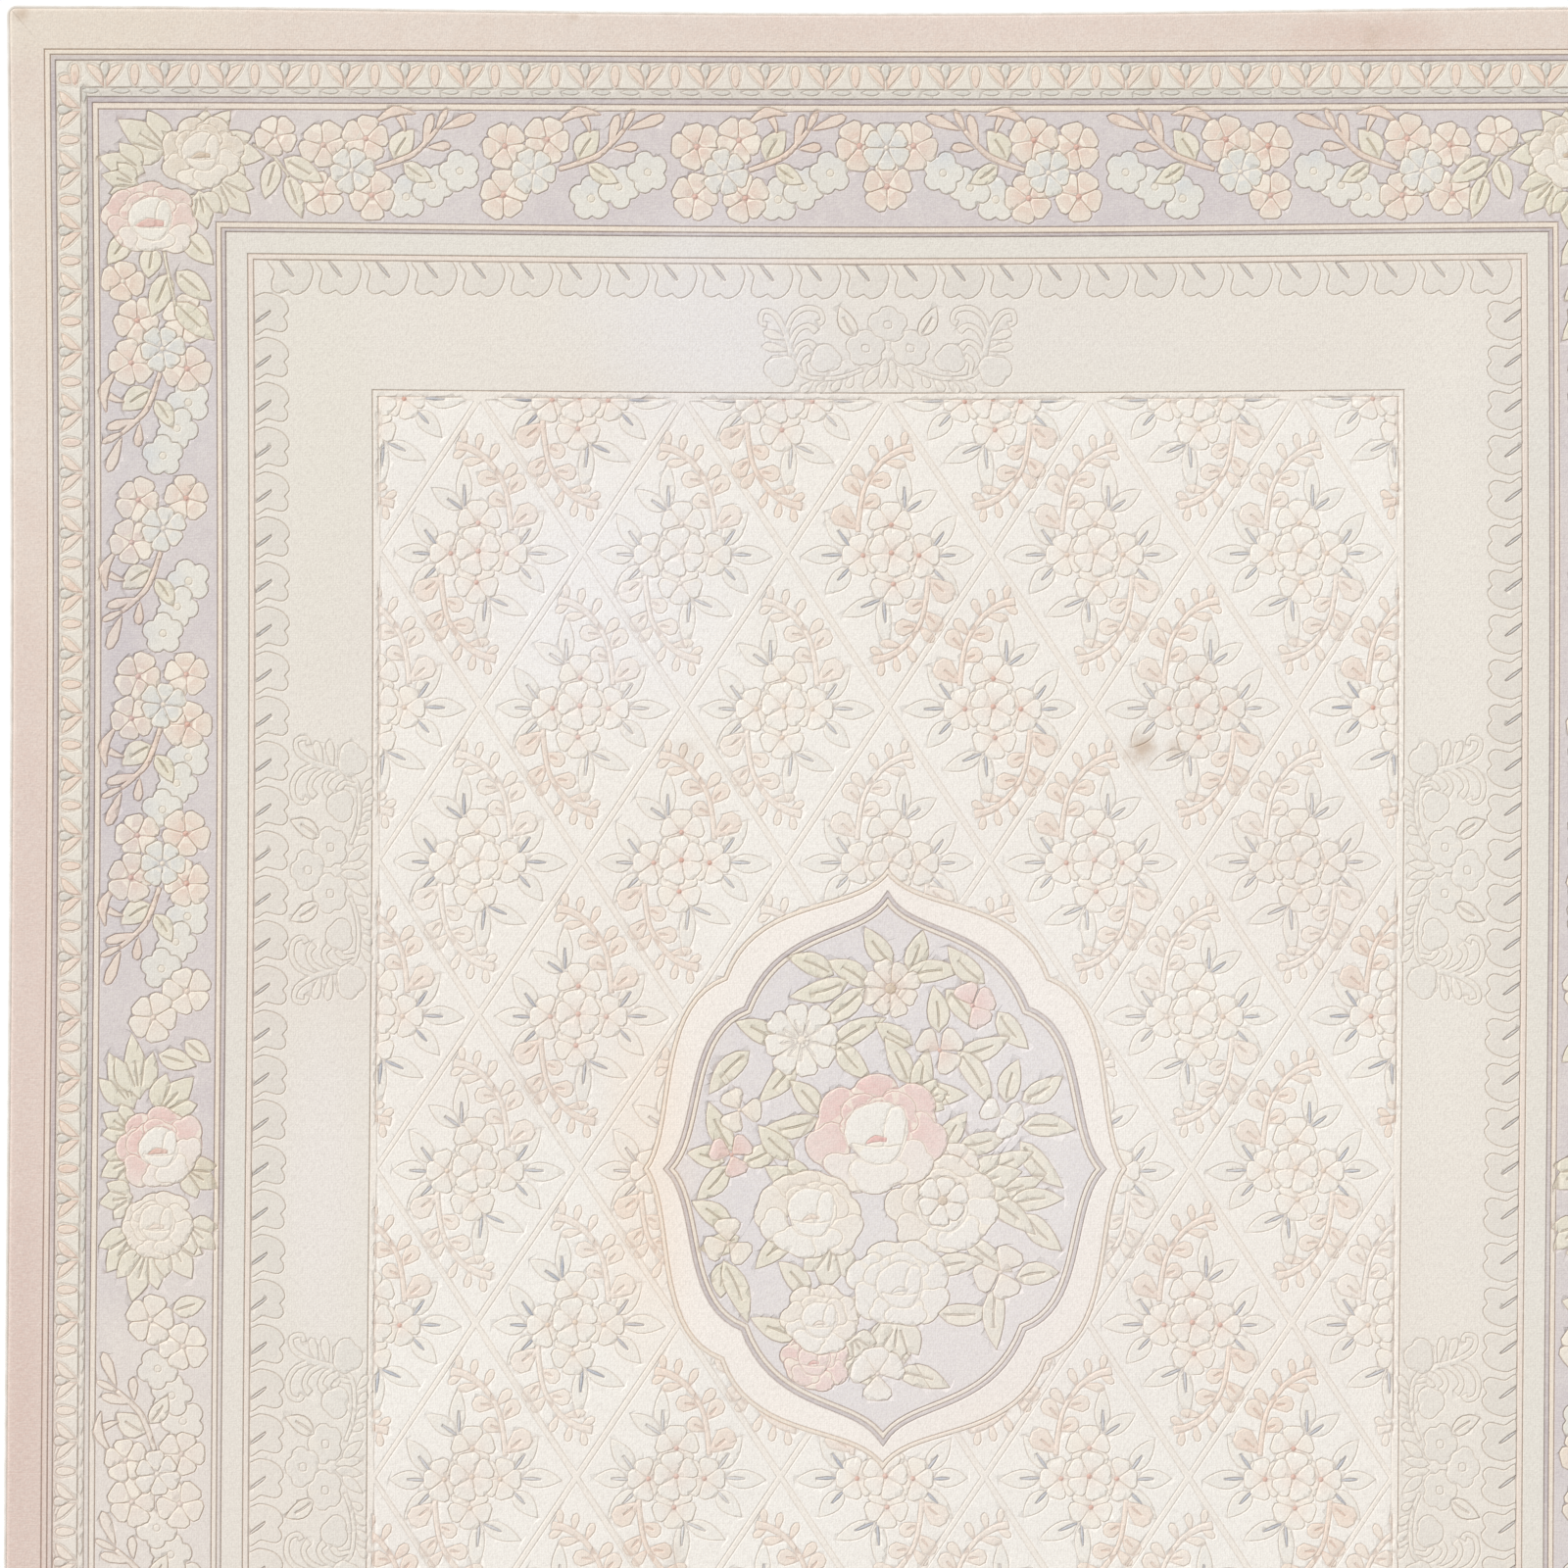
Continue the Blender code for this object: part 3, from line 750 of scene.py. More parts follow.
# Middle of each leaf and the way to its tip
bouquetLeaves = (
    (-12, 348, -18, 24), (44, 340, 9, 27), (69, 306, 38, 4), (-58, 306, -28, 16), (-103, 283, -38, -10),
    (-117, 318, -30, 12), (-70, 257, -32, -24), (-200, 213, -28, 14), (-47, 211, 36, 20),
    (-52, 171, 22, -24), (-167, 141, -24, -28), (-243, 153, -26, -28), (125, 318, -24, 24),
    (196, 219, 20, -24), (115, 252, 20, -26), (77, 248, -4, 30), (14, 211, -24, 14), (150, 191, 32, 12),
    (136, 145, 22, -36), (18, 167, -16, 30), (60, 145, 4, 34), (84, 121, 34, -4), (-148, 69, -40, -8),
    (-124, 110, -20, 22), (196, 136, 8, 28), (242, 125, 26, 16), (252, 64, 34, -2), (242, 9, 28, -30),
    (106, 55, 16, 26), (150, 44, 32, 8), (-256, 64, -16, 32), (-278, 17, -24, 6), (-268, -20, -20, -22),
    (-194, 24, 26, 14), (-168, 40, -24, 22), (-168, -129, -26, -22), (-98, -144, 10, -40),
    (-268, -74, -26, 18), (-256, -116, -26, -8), (-250, -172, -4, -24), (-233, -190, 16, -40),
    (196, -28, 40, 12), (233, -52, 36, 4), (246, -98, 24, -24), (191, -72, 34, -24), (161, -133, 30, -22),
    (187, 3, 34, 18), (125, -225, 36, 2), (110, -153, 34, 6), (176, -230, 0, -42), (237, -167, 28, 4),
    (-139, -174, -20, 22), (-164, -249, -34, 12), (-58, -225, 22, 26), (30, -262, 2, -34),
    (-40, -318, -28, 16), (60, -330, 34, -10),
)


def paintMedallion():
    outer = medallionShape(medallion["outer"])
    inner = medallionShape(medallion["inner"])
    lines = ((outer, 0, "creamLine", 0.8), (outer, 6.5, "band", 0.8), (inner, -6.5, "lavenderLine", 0.8),
             (inner, 0, "rim", 0.8), (inner, 6.5, "medallionGround", 1.0))
    for line, inset, dye, cutShare in lines:
        paint(insetShape(line, inset), dye, cut=cutShare)
        for away in (-rug["carveHalf"], rug["carveHalf"]):
            ridge = insetShape(line, inset + away)
            ridges.append(ridge + ridge[:1])
    still = placed(0, 0)
    for k, (x, y, tipX, tipY) in enumerate(bouquetLeaves):
        leaf(still, (x - tipX * 1.15, y - tipY * 1.15), (x + tipX * 1.3, y + tipY * 1.3), 36,
             0.05 * (-1) ** k)
    for start, end, width in (((-80, -118), (-92, -190), 62), ((22, -238), (14, -312), 62),
                              ((128, -24), (214, -4), 54), ((-120, -36), (-188, 4), 50),
                              ((-50, -262), (-26, -300), 44), ((60, 110), (96, 120), 40)):
        serratedLeaf(still, start, end, width)
    for bloom in blooms:
        place = placed(bloom["x"], bloom["y"])
        size = bloom["size"]
        if bloom["kind"] == "round":
            flower(place, 0, 0, size, 20, 8 if size > 42 else 6, bloom["dye"], bloom["deep"], 0.8, 0.5,
                   "rose", 0.45)
            paint(drawn(lobedShape(0, 0, size * 0.2, 1, 0, 0, 8), place), "tan", cut=0.6)
        elif bloom["kind"] == "many":
            flower(place, 0, 0, size, 10, 8, bloom["dye"], bloom["deep"], 0.8, 0.6, "rim", 0.3)
            for k in range(9):
                heading = math.radians(30 + 40 * k)
                run = [(size * t * math.cos(heading), size * t * math.sin(heading))
                       for t in (0.2, 0.38, 0.55)]
                paint(drawn(ribbonShape(run, (1.6, 2.6, 1.4), 1), place), "white", cut=0.7)
        elif bloom["kind"] == "small":
            family = newFamily()
            heart = mixDye(dyes[bloom["dye"]], dyes[bloom["deep"]], 0.7)
            for angle in bloom["petals"]:
                heading = math.radians(angle)
                outline = fanShape(0, 0, size, heading, 0.72)
                paint(drawn(outline, place), bloom["dye"], rim=0.5, glow=(place(0, 0), size * 0.8, heart),
                      family=family)
            paint(drawn(lobedShape(0, 0, 3.5, 1, 0, 0, 6), place), bloom["deep"], cut=0.6)
        else:
            peony(place, 0, 0, size, bloom["x"] * 0.3, bloom["dye"], bloom["deep"], bloom["core"],
                  bloom["deep"])


# A tone-on-tone ornament in the plain band: three flowers, leaves and scrolling vines, mirrored
ornament = {
    "flowers": ((0, 50, 29), (-35, 10, 29)), "sideLeaf": ((-50, 30), (-76, 82), 27),
    "lobes": ((-98, -8, 23, 100), (-168, -28, 25, 40)),
    "vines": (
        (((-40, -26), (-69, -38), (-100, -42), (-134, -36), (-150, -12), (-156, 20), (-164, 44), (-178, 68),
          (-196, 72), (-200, 54), (-190, 50)),
         (7, 8, 8, 8, 9, 10, 9, 10, 9, 8, 10)),
        (((-160, 36), (-150, 64), (-130, 78), (-108, 74), (-102, 58), (-110, 52)), (7, 9, 10, 9, 8, 12)),
        (((-156, 10), (-144, 38), (-126, 48), (-112, 38)), (7, 9, 10, 13)),
        (((-152, -16), (-142, 10), (-126, 20), (-114, 10)), (7, 9, 10, 13)),
        (((-128, -36), (-132, -14), (-120, -4)), (6, 9, 13)),
    ),
    "leaflets": (((-158, 24), (-196, 38), 17), ((-156, 6), (-198, 14), 17), ((-152, -10), (-186, -8), 15),
                 ((-116, -44), (-138, -66), 15), ((-94, -44), (-112, -66), 15),
                 ((-72, -40), (-88, -64), 15), ((-54, -34), (-64, -58), 14)),
    "stalks": (((-4, -8), (-11, -58), 17), ((-14, -20), (-40, -58), 18)),
}


def paintOrnament(x, y, turn, across, along):
    for flip in (-1, 1):
        turned = placed(x, y, turn, flip)

        def place(u, v):
            return turned(u * across, v * along)

        group = newGroup()
        for start, end, width in ornament["leaflets"]:
            paint(drawn(petalShape(start, end, width, 0.3), place), "ornament", rim=0.4, cut=0.6)
        for run, widths in ornament["vines"]:
            paint(drawn(ribbonShape(run, widths, 3), place), "ornament", group=group, rim=0.4, cut=0.6)
        for start, end, width in ornament["stalks"]:
            paint(drawn(leafShape(start, end, width), place), "ornament", rim=0.4, cut=0.6)
        for u, v, radius, phase in ornament["lobes"]:
            paint(drawn(lobedShape(u, v, radius, 3, 0.12, phase), place), "ornament", rim=0.4, cut=0.6)
        start, end, width = ornament["sideLeaf"]
        leaf(place, start, end, width, 0.05, "ornament", "plain")
        for u, v, radius in ornament["flowers"]:
            if u or flip == 1:
                paint(drawn(lobedShape(u, v, radius, 5, 0.10, 90), place), "ornament", rim=0.4, cut=0.6)
                paint(drawn(lobedShape(u, v, radius * 0.24, 4, 0.08, 45, 8), place), "plain", cut=0.6)


paintLattice()
for patch in patches:
    patch["cut"] *= 0.8
hidden = medallionShape(medallion["outer"])
patches[:] = [patch for patch in patches if not all(inShape(x, y, hidden) for x, y in patch["points"])
              and not all(abs(x) > latticeX or abs(y) > latticeY for x, y in patch["points"])]
paintMedallion()
paintBands()
paintGuard()
paintLeafRow()
paintFlowerBorder()
for sideways in (-1, 1):
    for upward in (-1, 1):
        cornerX = sideways * (halfWidth - 265)
        cornerY = upward * (halfLength - 285)
        paintCorner(framed((cornerX, cornerY), (-sideways, 0), (0, upward)))
    paintMidSide(framed((sideways * (halfWidth - 234), 0), (-sideways, 0), (0, 1)))
plainBand = {"endCentre": 537, "sideCentre": 511, "sideSpots": (466, -466)}
for upward in (-1, 1):
    paintOrnament(0, upward * (halfLength - plainBand["endCentre"]), 0 if upward > 0 else 180, 0.99, 0.92)
for sideways in (-1, 1):
    for spot in plainBand["sideSpots"]:
        paintOrnament(sideways * (halfWidth - plainBand["sideCentre"]), spot, -90 * sideways, 1.03, 0.87)
print("areas in the pattern:", len(patches))

# Triangles: the outlines, shoulder points beside them, a filling grid and the cuts between the strips
mesher = {
    "shoulder": 1.7, "shoulderSpacing": 1.3, "shoulderClear": 0.82, "shoulderEdge": 14,
    "sampleSpacing": 0.6, "fill": 15.0, "fillRow": 0.866, "clearFill": 6.0, "fillEdge": 22,
    "rings": (7.1, 8.6, 11.1), "strips": 12, "stripLengths": 16, "cutStep": 3.2, "joined": 0.02,
    "sunk": 0.65, "cornerZone": 16, "grooveStep": 1.4, "flatSlope": 0.985,
}


def outlinePoints():
    points = []
    edges = []
    shoulders = []
    samples = []
    for patch in patches:
        outline = np.array(patch["points"], dtype=float)
        step = np.roll(outline, -1, axis=0) - outline
        outline = outline[np.hypot(step[:, 0], step[:, 1]) > 0.05]
        first = len(points)
        count = len(outline)
        points.extend(outline.tolist())
        edges.extend((first + i, first + (i + 1) % count) for i in range(count))
        after = np.roll(outline, -1, axis=0) - outline
        normal = np.stack((-after[:, 1], after[:, 0]), axis=1) / np.hypot(after[:, 0], after[:, 1])[:, None]
        corner = normal + np.roll(normal, 1, axis=0)
        corner /= np.maximum((corner ** 2).sum(axis=1, keepdims=True) / 2, 0.6)
        for side in (-1, 1):
            shoulders.append(outline + corner * side * mesher["shoulder"])
        for share in (0.0, 0.25, 0.5, 0.75):
            samples.append(outline + after * share)
    for ridge in ridges:
        first = len(points)
        points.extend([list(p) for p in ridge])
        edges.extend((first + i, first + i + 1) for i in range(len(ridge) - 1))
    return points, edges, np.concatenate(shoulders), np.concatenate(samples)


def pointTree(samples):
    tree = kdtree.KDTree(len(samples))
    for i, (x, y) in enumerate(samples.tolist()):
        tree.insert((x, y, 0), i)
    tree.balance()
    return tree


def clearOf(candidates, tree, distance):
    far = [tree.find((x, y, 0))[2] > distance for x, y in candidates.tolist()]
    return candidates[np.array(far)]


def thinned(points, spacing):
    cells = np.round(points / spacing).astype(np.int64)
    _, kept = np.unique(cells[:, 0] * 1000003 + cells[:, 1], return_index=True)
    return points[np.sort(kept)]


def rimRing(inset):
    ring = []
    for corner in (1, 2, 3, 0):
        points = cornerPoints(inset, corner)
        following = cornerPoints(inset, corner + 1)
        ring += points[:-1] + steppedRun(points[-1], following[0], lineStep)
    return ring


points, edges, shoulders, samples = outlinePoints()
edge = mesher["shoulderEdge"]
inBody = (np.abs(shoulders[:, 0]) < halfWidth - edge) & (np.abs(shoulders[:, 1]) < halfLength - edge)
tree = pointTree(thinned(samples, mesher["sampleSpacing"]))
shoulders = thinned(shoulders[inBody], mesher["shoulderSpacing"])
shoulders = clearOf(shoulders, tree, mesher["shoulder"] * mesher["shoulderClear"])
edge = mesher["fillEdge"]
gridX = np.arange(-halfWidth + edge, halfWidth - edge + 1, mesher["fill"])
gridY = np.arange(-halfLength + edge, halfLength - edge + 1, mesher["fill"] * mesher["fillRow"])
grid = np.array([(x + (mesher["fill"] / 2 if j % 2 else 0), y) for j, y in enumerate(gridY) for x in gridX])
grid = clearOf(grid[np.abs(grid[:, 0]) < halfWidth - edge + 2], tree, mesher["clearFill"])
rings = [point for inset in mesher["rings"] for point in rimRing(inset)]
print("points: outlines", len(points), "shoulders", len(shoulders), "filling", len(grid))

stripWidth = rug["width"] / mesher["strips"]
stripStep = rug["length"] / mesher["stripLengths"]
bodyX = halfWidth - rug["bodyInset"]
bodyY = halfLength - rug["bodyInset"]
coordinates = [Vector(p) for p in points + shoulders.tolist() + grid.tolist() + rings]


def addCut(start, end):
    # a straight line of points on which two strips or two sections meet
    run = [Vector(p) for p in steppedRun(start, end, mesher["cutStep"]) + [end]]
    edges.extend((len(coordinates) + i, len(coordinates) + i + 1) for i in range(len(run) - 1))
    coordinates.extend(run)


for x in (stripWidth * k - halfWidth for k in range(1, mesher["strips"])):
    addCut((x, -bodyY), (x, bodyY))
for y in (stripStep * k - halfLength for k in range(1, mesher["stripLengths"])):
    addCut((-bodyX, y), (bodyX, y))


def crosses(spots, outline):
    # which of the spots lie inside the outline
    outline = np.asarray(outline, dtype=float)
    following = np.roll(outline, -1, axis=0)
    inside = np.zeros(len(spots), dtype=bool)
    for (x1, y1), (x2, y2) in zip(outline, following):
        if y1 != y2:
            between = (y1 > spots[:, 1]) != (y2 > spots[:, 1])
            inside ^= between & (spots[:, 0] < x1 + (x2 - x1) * (spots[:, 1] - y1) / (y2 - y1))
    return inside


def topmost(centres):
    # the number of the last area painted over each spot
    label = np.full(len(centres), -1)
    order = np.argsort(centres[:, 0])
    ordered = centres[order]
    for number, patch in enumerate(patches):
        reach = np.asarray(patch["reach"], dtype=float)
        low = reach.min(axis=0)
        high = reach.max(axis=0)
        a, b = np.searchsorted(ordered[:, 0], (low[0], high[0]))
        near = np.nonzero((ordered[a:b, 1] > low[1]) & (ordered[a:b, 1] < high[1]))[0] + a
        inside = crosses(ordered[near], reach)
        label[order[near[inside]]] = number
    return label


group = np.array([patch["group"] for patch in patches])
cut = np.array([patch["cut"] for patch in patches])
family = np.array([patch["family"] for patch in patches])


def triangulated():
    # points, triangles inside the rug's outline, and the middle of each
    made = delaunay_2d_cdt(coordinates, edges, [], 0, mesher["joined"], False)
    flat = np.array([tuple(v) for v in made[0]])
    triangles = np.array(made[2])
    centres = flat[triangles].mean(axis=1)
    zone = mesher["cornerZone"]
    inCorner = (np.abs(centres[:, 0]) > halfWidth - zone) & (np.abs(centres[:, 1]) > halfLength - zone)
    keep = (np.abs(centres[:, 0]) < bodyX) & (np.abs(centres[:, 1]) < bodyY)
    keep[inCorner] &= crosses(centres[inCorner], rimRing(rug["bodyInset"]))
    return flat, triangles[keep], centres[keep]


def grooveSides(flat, triangles, label):
    # the sides where two areas meet, how deep each is cut, and the sides at the rim with their triangles
    sides = np.concatenate((triangles[:, (0, 1)], triangles[:, (1, 2)], triangles[:, (2, 0)]))
    owners = np.tile(np.arange(len(triangles)), 3)
    sides = np.sort(sides, axis=1)
    key = sides[:, 0].astype(np.int64) * len(flat) + sides[:, 1]
    order = np.argsort(key, kind="stable")
    key = key[order]
    pair = np.nonzero(key[1:] == key[:-1])[0]
    single = np.ones(len(key), dtype=bool)
    single[pair] = False
    single[pair + 1] = False
    first = label[owners[order[pair]]]
    second = label[owners[order[pair + 1]]]
    apart = group[first] != group[second]
    depth = cut[np.maximum(first, second)] * np.where(family[first] == family[second], 0.5, 1.0)
    return sides[order[pair[apart]]], depth[apart], sides[order[single]], owners[order[single]]


def sunkMiddles(flat, triangles, grooves):
    # a triangle with all its corners in grooves gets a point in its middle, so that it isn't sunk
    onGroove = np.zeros(len(flat), dtype=bool)
    onGroove[np.unique(grooves)] = True
    corners = flat[triangles[onGroove[triangles].all(axis=1)]]
    spans = corners[:, (2, 0, 1)] - corners[:, (1, 2, 0)]
    lengths = np.hypot(spans[:, :, 0], spans[:, :, 1])
    area = np.abs(spans[:, 0, 0] * spans[:, 1, 1] - spans[:, 0, 1] * spans[:, 1, 0]) / 2
    inner = (corners * lengths[:, :, None]).sum(axis=1) / lengths.sum(axis=1)[:, None]
    return inner[2 * area / lengths.sum(axis=1) > mesher["sunk"]]


flat, triangles, centres = triangulated()
label = topmost(centres)
grooves, grooveCut, rimSides, rimOwners = grooveSides(flat, triangles, label)
added = sunkMiddles(flat, triangles, grooves)
coordinates += [Vector(p) for p in added.tolist()]
flat, triangles, centres = triangulated()
label = topmost(centres)
grooves, grooveCut, rimSides, rimOwners = grooveSides(flat, triangles, label)
print("triangulated:", len(flat), "points,", len(triangles), "triangles,", len(added), "raised middles")

# The distance of each point from the nearest groove
starts = flat[grooves[:, 0]]
spans = flat[grooves[:, 1]] - starts
lengths = np.hypot(spans[:, 0], spans[:, 1])
counts = np.maximum(1, np.ceil(lengths / mesher["grooveStep"])).astype(int)
repeat = np.repeat(np.arange(len(grooves)), counts)
inStep = np.arange(len(repeat)) - np.repeat(np.cumsum(counts) - counts, counts)
grooveSpots = starts[repeat] + spans[repeat] * ((inStep + 0.5) / counts[repeat])[:, None]
grooveTree = pointTree(grooveSpots)
spotCut = grooveCut[repeat]
carve = np.full(len(flat), 9.0)
cutHere = np.ones(len(flat))
for i, (x, y) in enumerate(flat.tolist()):
    _, index, distance = grooveTree.find((x, y, 0))
    carve[i] = distance
    cutHere[i] = spotCut[index]
carve[np.unique(grooves)] = 0
print("grooves:", len(grooves), "pieces,", round(float(lengths.sum()) / 1000, 1), "m")

# The pile's soft waves: depth in millimetres, and how fast they follow each other
pileWave = {"depth": 0.25, "across": 0.011, "along": 0.009, "bend": 0.007, "start": 1.3}

rimDistance = np.minimum(bodyX - np.abs(flat[:, 0]), bodyY - np.abs(flat[:, 1]))
cornerStart = (halfWidth - rug["cornerRadius"], halfLength - rug["cornerRadius"])
cornerAway = np.abs(flat) - np.array(cornerStart)
inCorner = (cornerAway > 0).all(axis=1)
rimDistance[inCorner] = rug["cornerRadius"] - rug["bodyInset"] - np.hypot(*cornerAway[inCorner].T)
rimDistance = np.clip(rimDistance, 0, None)
rounding = 1 - np.sqrt(1 - np.clip(1 - rimDistance / rug["edgeRound"], 0, 1) ** 2)
height = rug["pileTop"] - rug["edgeDrop"] * rounding
height -= rug["carveDepth"] * cutHere * np.clip(1 - carve / rug["carveHalf"], 0, 1) ** 0.8
across, along = flat[:, 0], flat[:, 1]
wave = np.sin(across * pileWave["across"] + 2 * np.sin(along * pileWave["bend"]))
wave = wave * np.sin(along * pileWave["along"] + pileWave["start"])
height -= pileWave["depth"] * (1 - wave) * (1 - rounding)
driftX, driftY = drift(flat[:, 0], flat[:, 1])
surface = np.stack((driftX, driftY, height), axis=1) / 1000

# Normals are shared within one area and one slope, over the whole pile, so that the strips meet unseen
corners = surface[triangles]
faceNormal = np.cross(corners[:, 1] - corners[:, 0], corners[:, 2] - corners[:, 0])
unit = faceNormal / np.maximum(np.linalg.norm(faceNormal, axis=1, keepdims=True), 1e-15)
steep = np.where(unit[:, 2] > mesher["flatSlope"], 0, 1)
steep = np.where(rimDistance[triangles].min(axis=1) < rug["edgeRound"] + 0.1, 2, steep)
shareKey = triangles.astype(np.int64) * 30000 + ((label * 3 + steep) % 30000)[:, None]
_, shared = np.unique(shareKey.ravel(), return_inverse=True)
sums = np.zeros((shared.max() + 1, 3))
for k in range(3):
    sums[:, k] = np.bincount(shared, weights=np.repeat(faceNormal[:, k], 3))
sums /= np.maximum(np.linalg.norm(sums, axis=1, keepdims=True), 1e-15)
cornerNormal = sums[shared].reshape(-1, 3, 3)


def toLinear(values):
    share = np.asarray(values, dtype=float) / 255
    return np.where(share <= 0.04045, share / 12.92, ((share + 0.055) / 1.055) ** 2.4)


bodyColor = np.array([patch["color"] for patch in patches], dtype=float)
bodyColor *= 1 + np.array([dice.uniform(-0.012, 0.010) for _ in patches])[:, None] * (group > 600)[:, None]
glowing = np.array([patch["glow"] is not None for patch in patches])
glowAt = np.array([patch["glow"][0] if patch["glow"] else (0, 0) for patch in patches])
glowReach = np.array([patch["glow"][1] if patch["glow"] else 1 for patch in patches])
glowColor = np.array([patch["glow"][2] if patch["glow"] else (0, 0, 0) for patch in patches], dtype=float)
rimShare = np.array([patch["rim"] for patch in patches])
cornerLabel = np.repeat(label, 3)
cornerSpot = flat[triangles].reshape(-1, 2)
away = np.hypot(*(cornerSpot - glowAt[cornerLabel]).T) / glowReach[cornerLabel]
glow = np.clip(1 - away, 0, 1) * glowing[cornerLabel]
cornerColor = bodyColor[cornerLabel] * (1 - glow[:, None]) + glowColor[cornerLabel] * glow[:, None]
cornerColor = np.concatenate((toLinear(cornerColor), rimShare[cornerLabel][:, None]), axis=1)


class Wire:
    # a socket that can be added, multiplied and passed on
    def __init__(self, tree, socket):
        self.tree = tree
        self.socket = socket

    def made(self, kind, settings, inputs):
        node = self.tree.nodes.new(kind)
        for name, value in settings.items():
            setattr(node, name, value)
        for name, value in inputs.items():
            if isinstance(value, Wire):
                self.tree.links.new(value.socket, node.inputs[name])
            else:
                node.inputs[name].default_value = value
        return node

    def math(self, operation, *values):
        node = self.made("ShaderNodeMath", {"operation": operation}, dict(enumerate(values)))
        return Wire(self.tree, node.outputs[0])

    def __add__(self, other):
        return self.math("ADD", self, other)

    def __radd__(self, other):
        return self.math("ADD", other, self)

    def __sub__(self, other):
        return self.math("SUBTRACT", self, other)

    def __rsub__(self, other):
        return self.math("SUBTRACT", other, self)

    def __mul__(self, other):
        return self.math("MULTIPLY", self, other)

    def __rmul__(self, other):
        return self.math("MULTIPLY", other, self)


def newMaterial(name):
    material = bpy.data.materials.new(name)
    material.use_nodes = True
    tree = material.node_tree
    tree.nodes.clear()
    output = tree.nodes.new("ShaderNodeOutputMaterial")
    shader = tree.nodes.new("ShaderNodeBsdfPrincipled")
    tree.links.new(shader.outputs["BSDF"], output.inputs["Surface"])
    coordinate = tree.nodes.new("ShaderNodeTexCoord")
    return material, shader, Wire(tree, coordinate.outputs["Object"])


def linear(*color):
    return tuple(toLinear(color).tolist()) + (1,)


def mixed(share, first, second, how="MIX"):
    node = share.made("ShaderNodeMix", {"data_type": "RGBA", "blend_type": how},
                      {0: share, 6: first, 7: second})
    return Wire(share.tree, node.outputs[2])


def noise(place, scale, detail=2.0, roughness=0.5):
    node = place.made("ShaderNodeTexNoise", {}, {"Vector": place, "Scale": scale, "Detail": detail,
                                                 "Roughness": roughness})
    return Wire(place.tree, node.outputs["Fac"])


def between(value, low, high, start=0.0, end=1.0):
    node = value.made("ShaderNodeMapRange", {"interpolation_type": "SMOOTHSTEP"},
                      {"Value": value, "From Min": low, "From Max": high, "To Min": start, "To Max": end})
    return Wire(value.tree, node.outputs["Result"])


def vectorMath(operation, first, second, output=0):
    node = first.made("ShaderNodeVectorMath", {"operation": operation}, {0: first, 1: second})
    return Wire(first.tree, node.outputs[output])


def stored(place, name, output="Fac"):
    # what the mesh stores under a name
    node = place.made("ShaderNodeAttribute", {"attribute_name": name}, {})
    return Wire(place.tree, node.outputs[output])


def bothWays(place):
    node = place.made("ShaderNodeSeparateXYZ", {}, {"Vector": place})
    return Wire(place.tree, node.outputs["X"]), Wire(place.tree, node.outputs["Y"])


def finishSurface(shader, color, relief, strength, distance, roughness, specular):
    bump = color.made("ShaderNodeBump", {}, {"Height": relief, "Strength": strength, "Distance": distance})
    color.tree.links.new(color.socket, shader.inputs["Base Color"])
    color.tree.links.new(bump.outputs["Normal"], shader.inputs["Normal"])
    shader.inputs["Roughness"].default_value = roughness
    shader.inputs["Specular IOR Level"].default_value = specular


# Old marks in the wool: place and radius in metres, strength
marks = (
    (0.40, 0.655, 0.036, 0.62), (0.45, 0.655, 0.024, 0.35), (-0.31, 0.65, 0.03, 0.22),
    (0.41, 1.70, 0.03, 0.22), (0.76, 1.765, 0.03, 0.22), (-1.07, 0.0, 0.04, 0.20),
    (-1.345, 1.80, 0.018, 0.45), (-0.33, -0.60, 0.03, 0.2), (-0.49, 1.80, 0.02, 0.25),
)

# Soft fading: place and reach in metres along x and y, strength, colour
fades = (
    (-1.30, 1.78, 0.45, 0.07, 0.55, (236, 226, 208)), (-1.34, 1.45, 0.06, 0.40, 0.35, (236, 224, 208)),
    (-1.34, 0.10, 0.07, 1.10, 0.45, (224, 196, 188)), (-1.34, -0.60, 0.07, 0.60, 0.40, (218, 190, 180)),
    (0.15, 1.79, 0.55, 0.05, 0.25, (232, 206, 198)), (0.75, 1.77, 0.16, 0.04, 0.40, (220, 186, 172)),
    (-1.14, -0.66, 0.30, 0.78, 0.72, (238, 229, 219)), (-0.27, 1.32, 0.22, 0.20, 0.55, (240, 238, 241)),
    (-0.43, 0.90, 0.24, 0.26, 0.60, (246, 244, 246)), (-0.88, -0.02, 0.07, 0.30, 0.55, (242, 235, 231)),
    (-0.88, 1.20, 0.10, 0.50, 0.30, (232, 228, 212)), (-1.13, 1.45, 0.16, 0.16, 0.25, (232, 224, 206)),
    (0.10, -0.24, 0.30, 0.20, 0.22, (240, 237, 238)), (-1.19, 0.75, 0.05, 0.50, 0.30, (196, 190, 200)),
    (0.40, 0.30, 0.10, 0.40, 0.35, (248, 242, 235)), (0.05, 1.30, 0.50, 0.10, 0.20, (232, 226, 226)),
    (-0.37, -0.02, 0.09, 0.36, 0.42, (251, 231, 211)), (0.05, 0.02, 0.45, 0.75, 0.20, (246, 242, 240)),
    (-1.10, 1.55, 0.25, 0.12, 0.20, (226, 222, 208)), (0.86, 0.60, 0.10, 1.10, 0.35, (246, 241, 231)),
    (0.22, 0.10, 0.16, 0.40, 0.25, (248, 244, 242)), (-1.345, -0.55, 0.06, 0.70, 0.50, (218, 188, 177)),
)

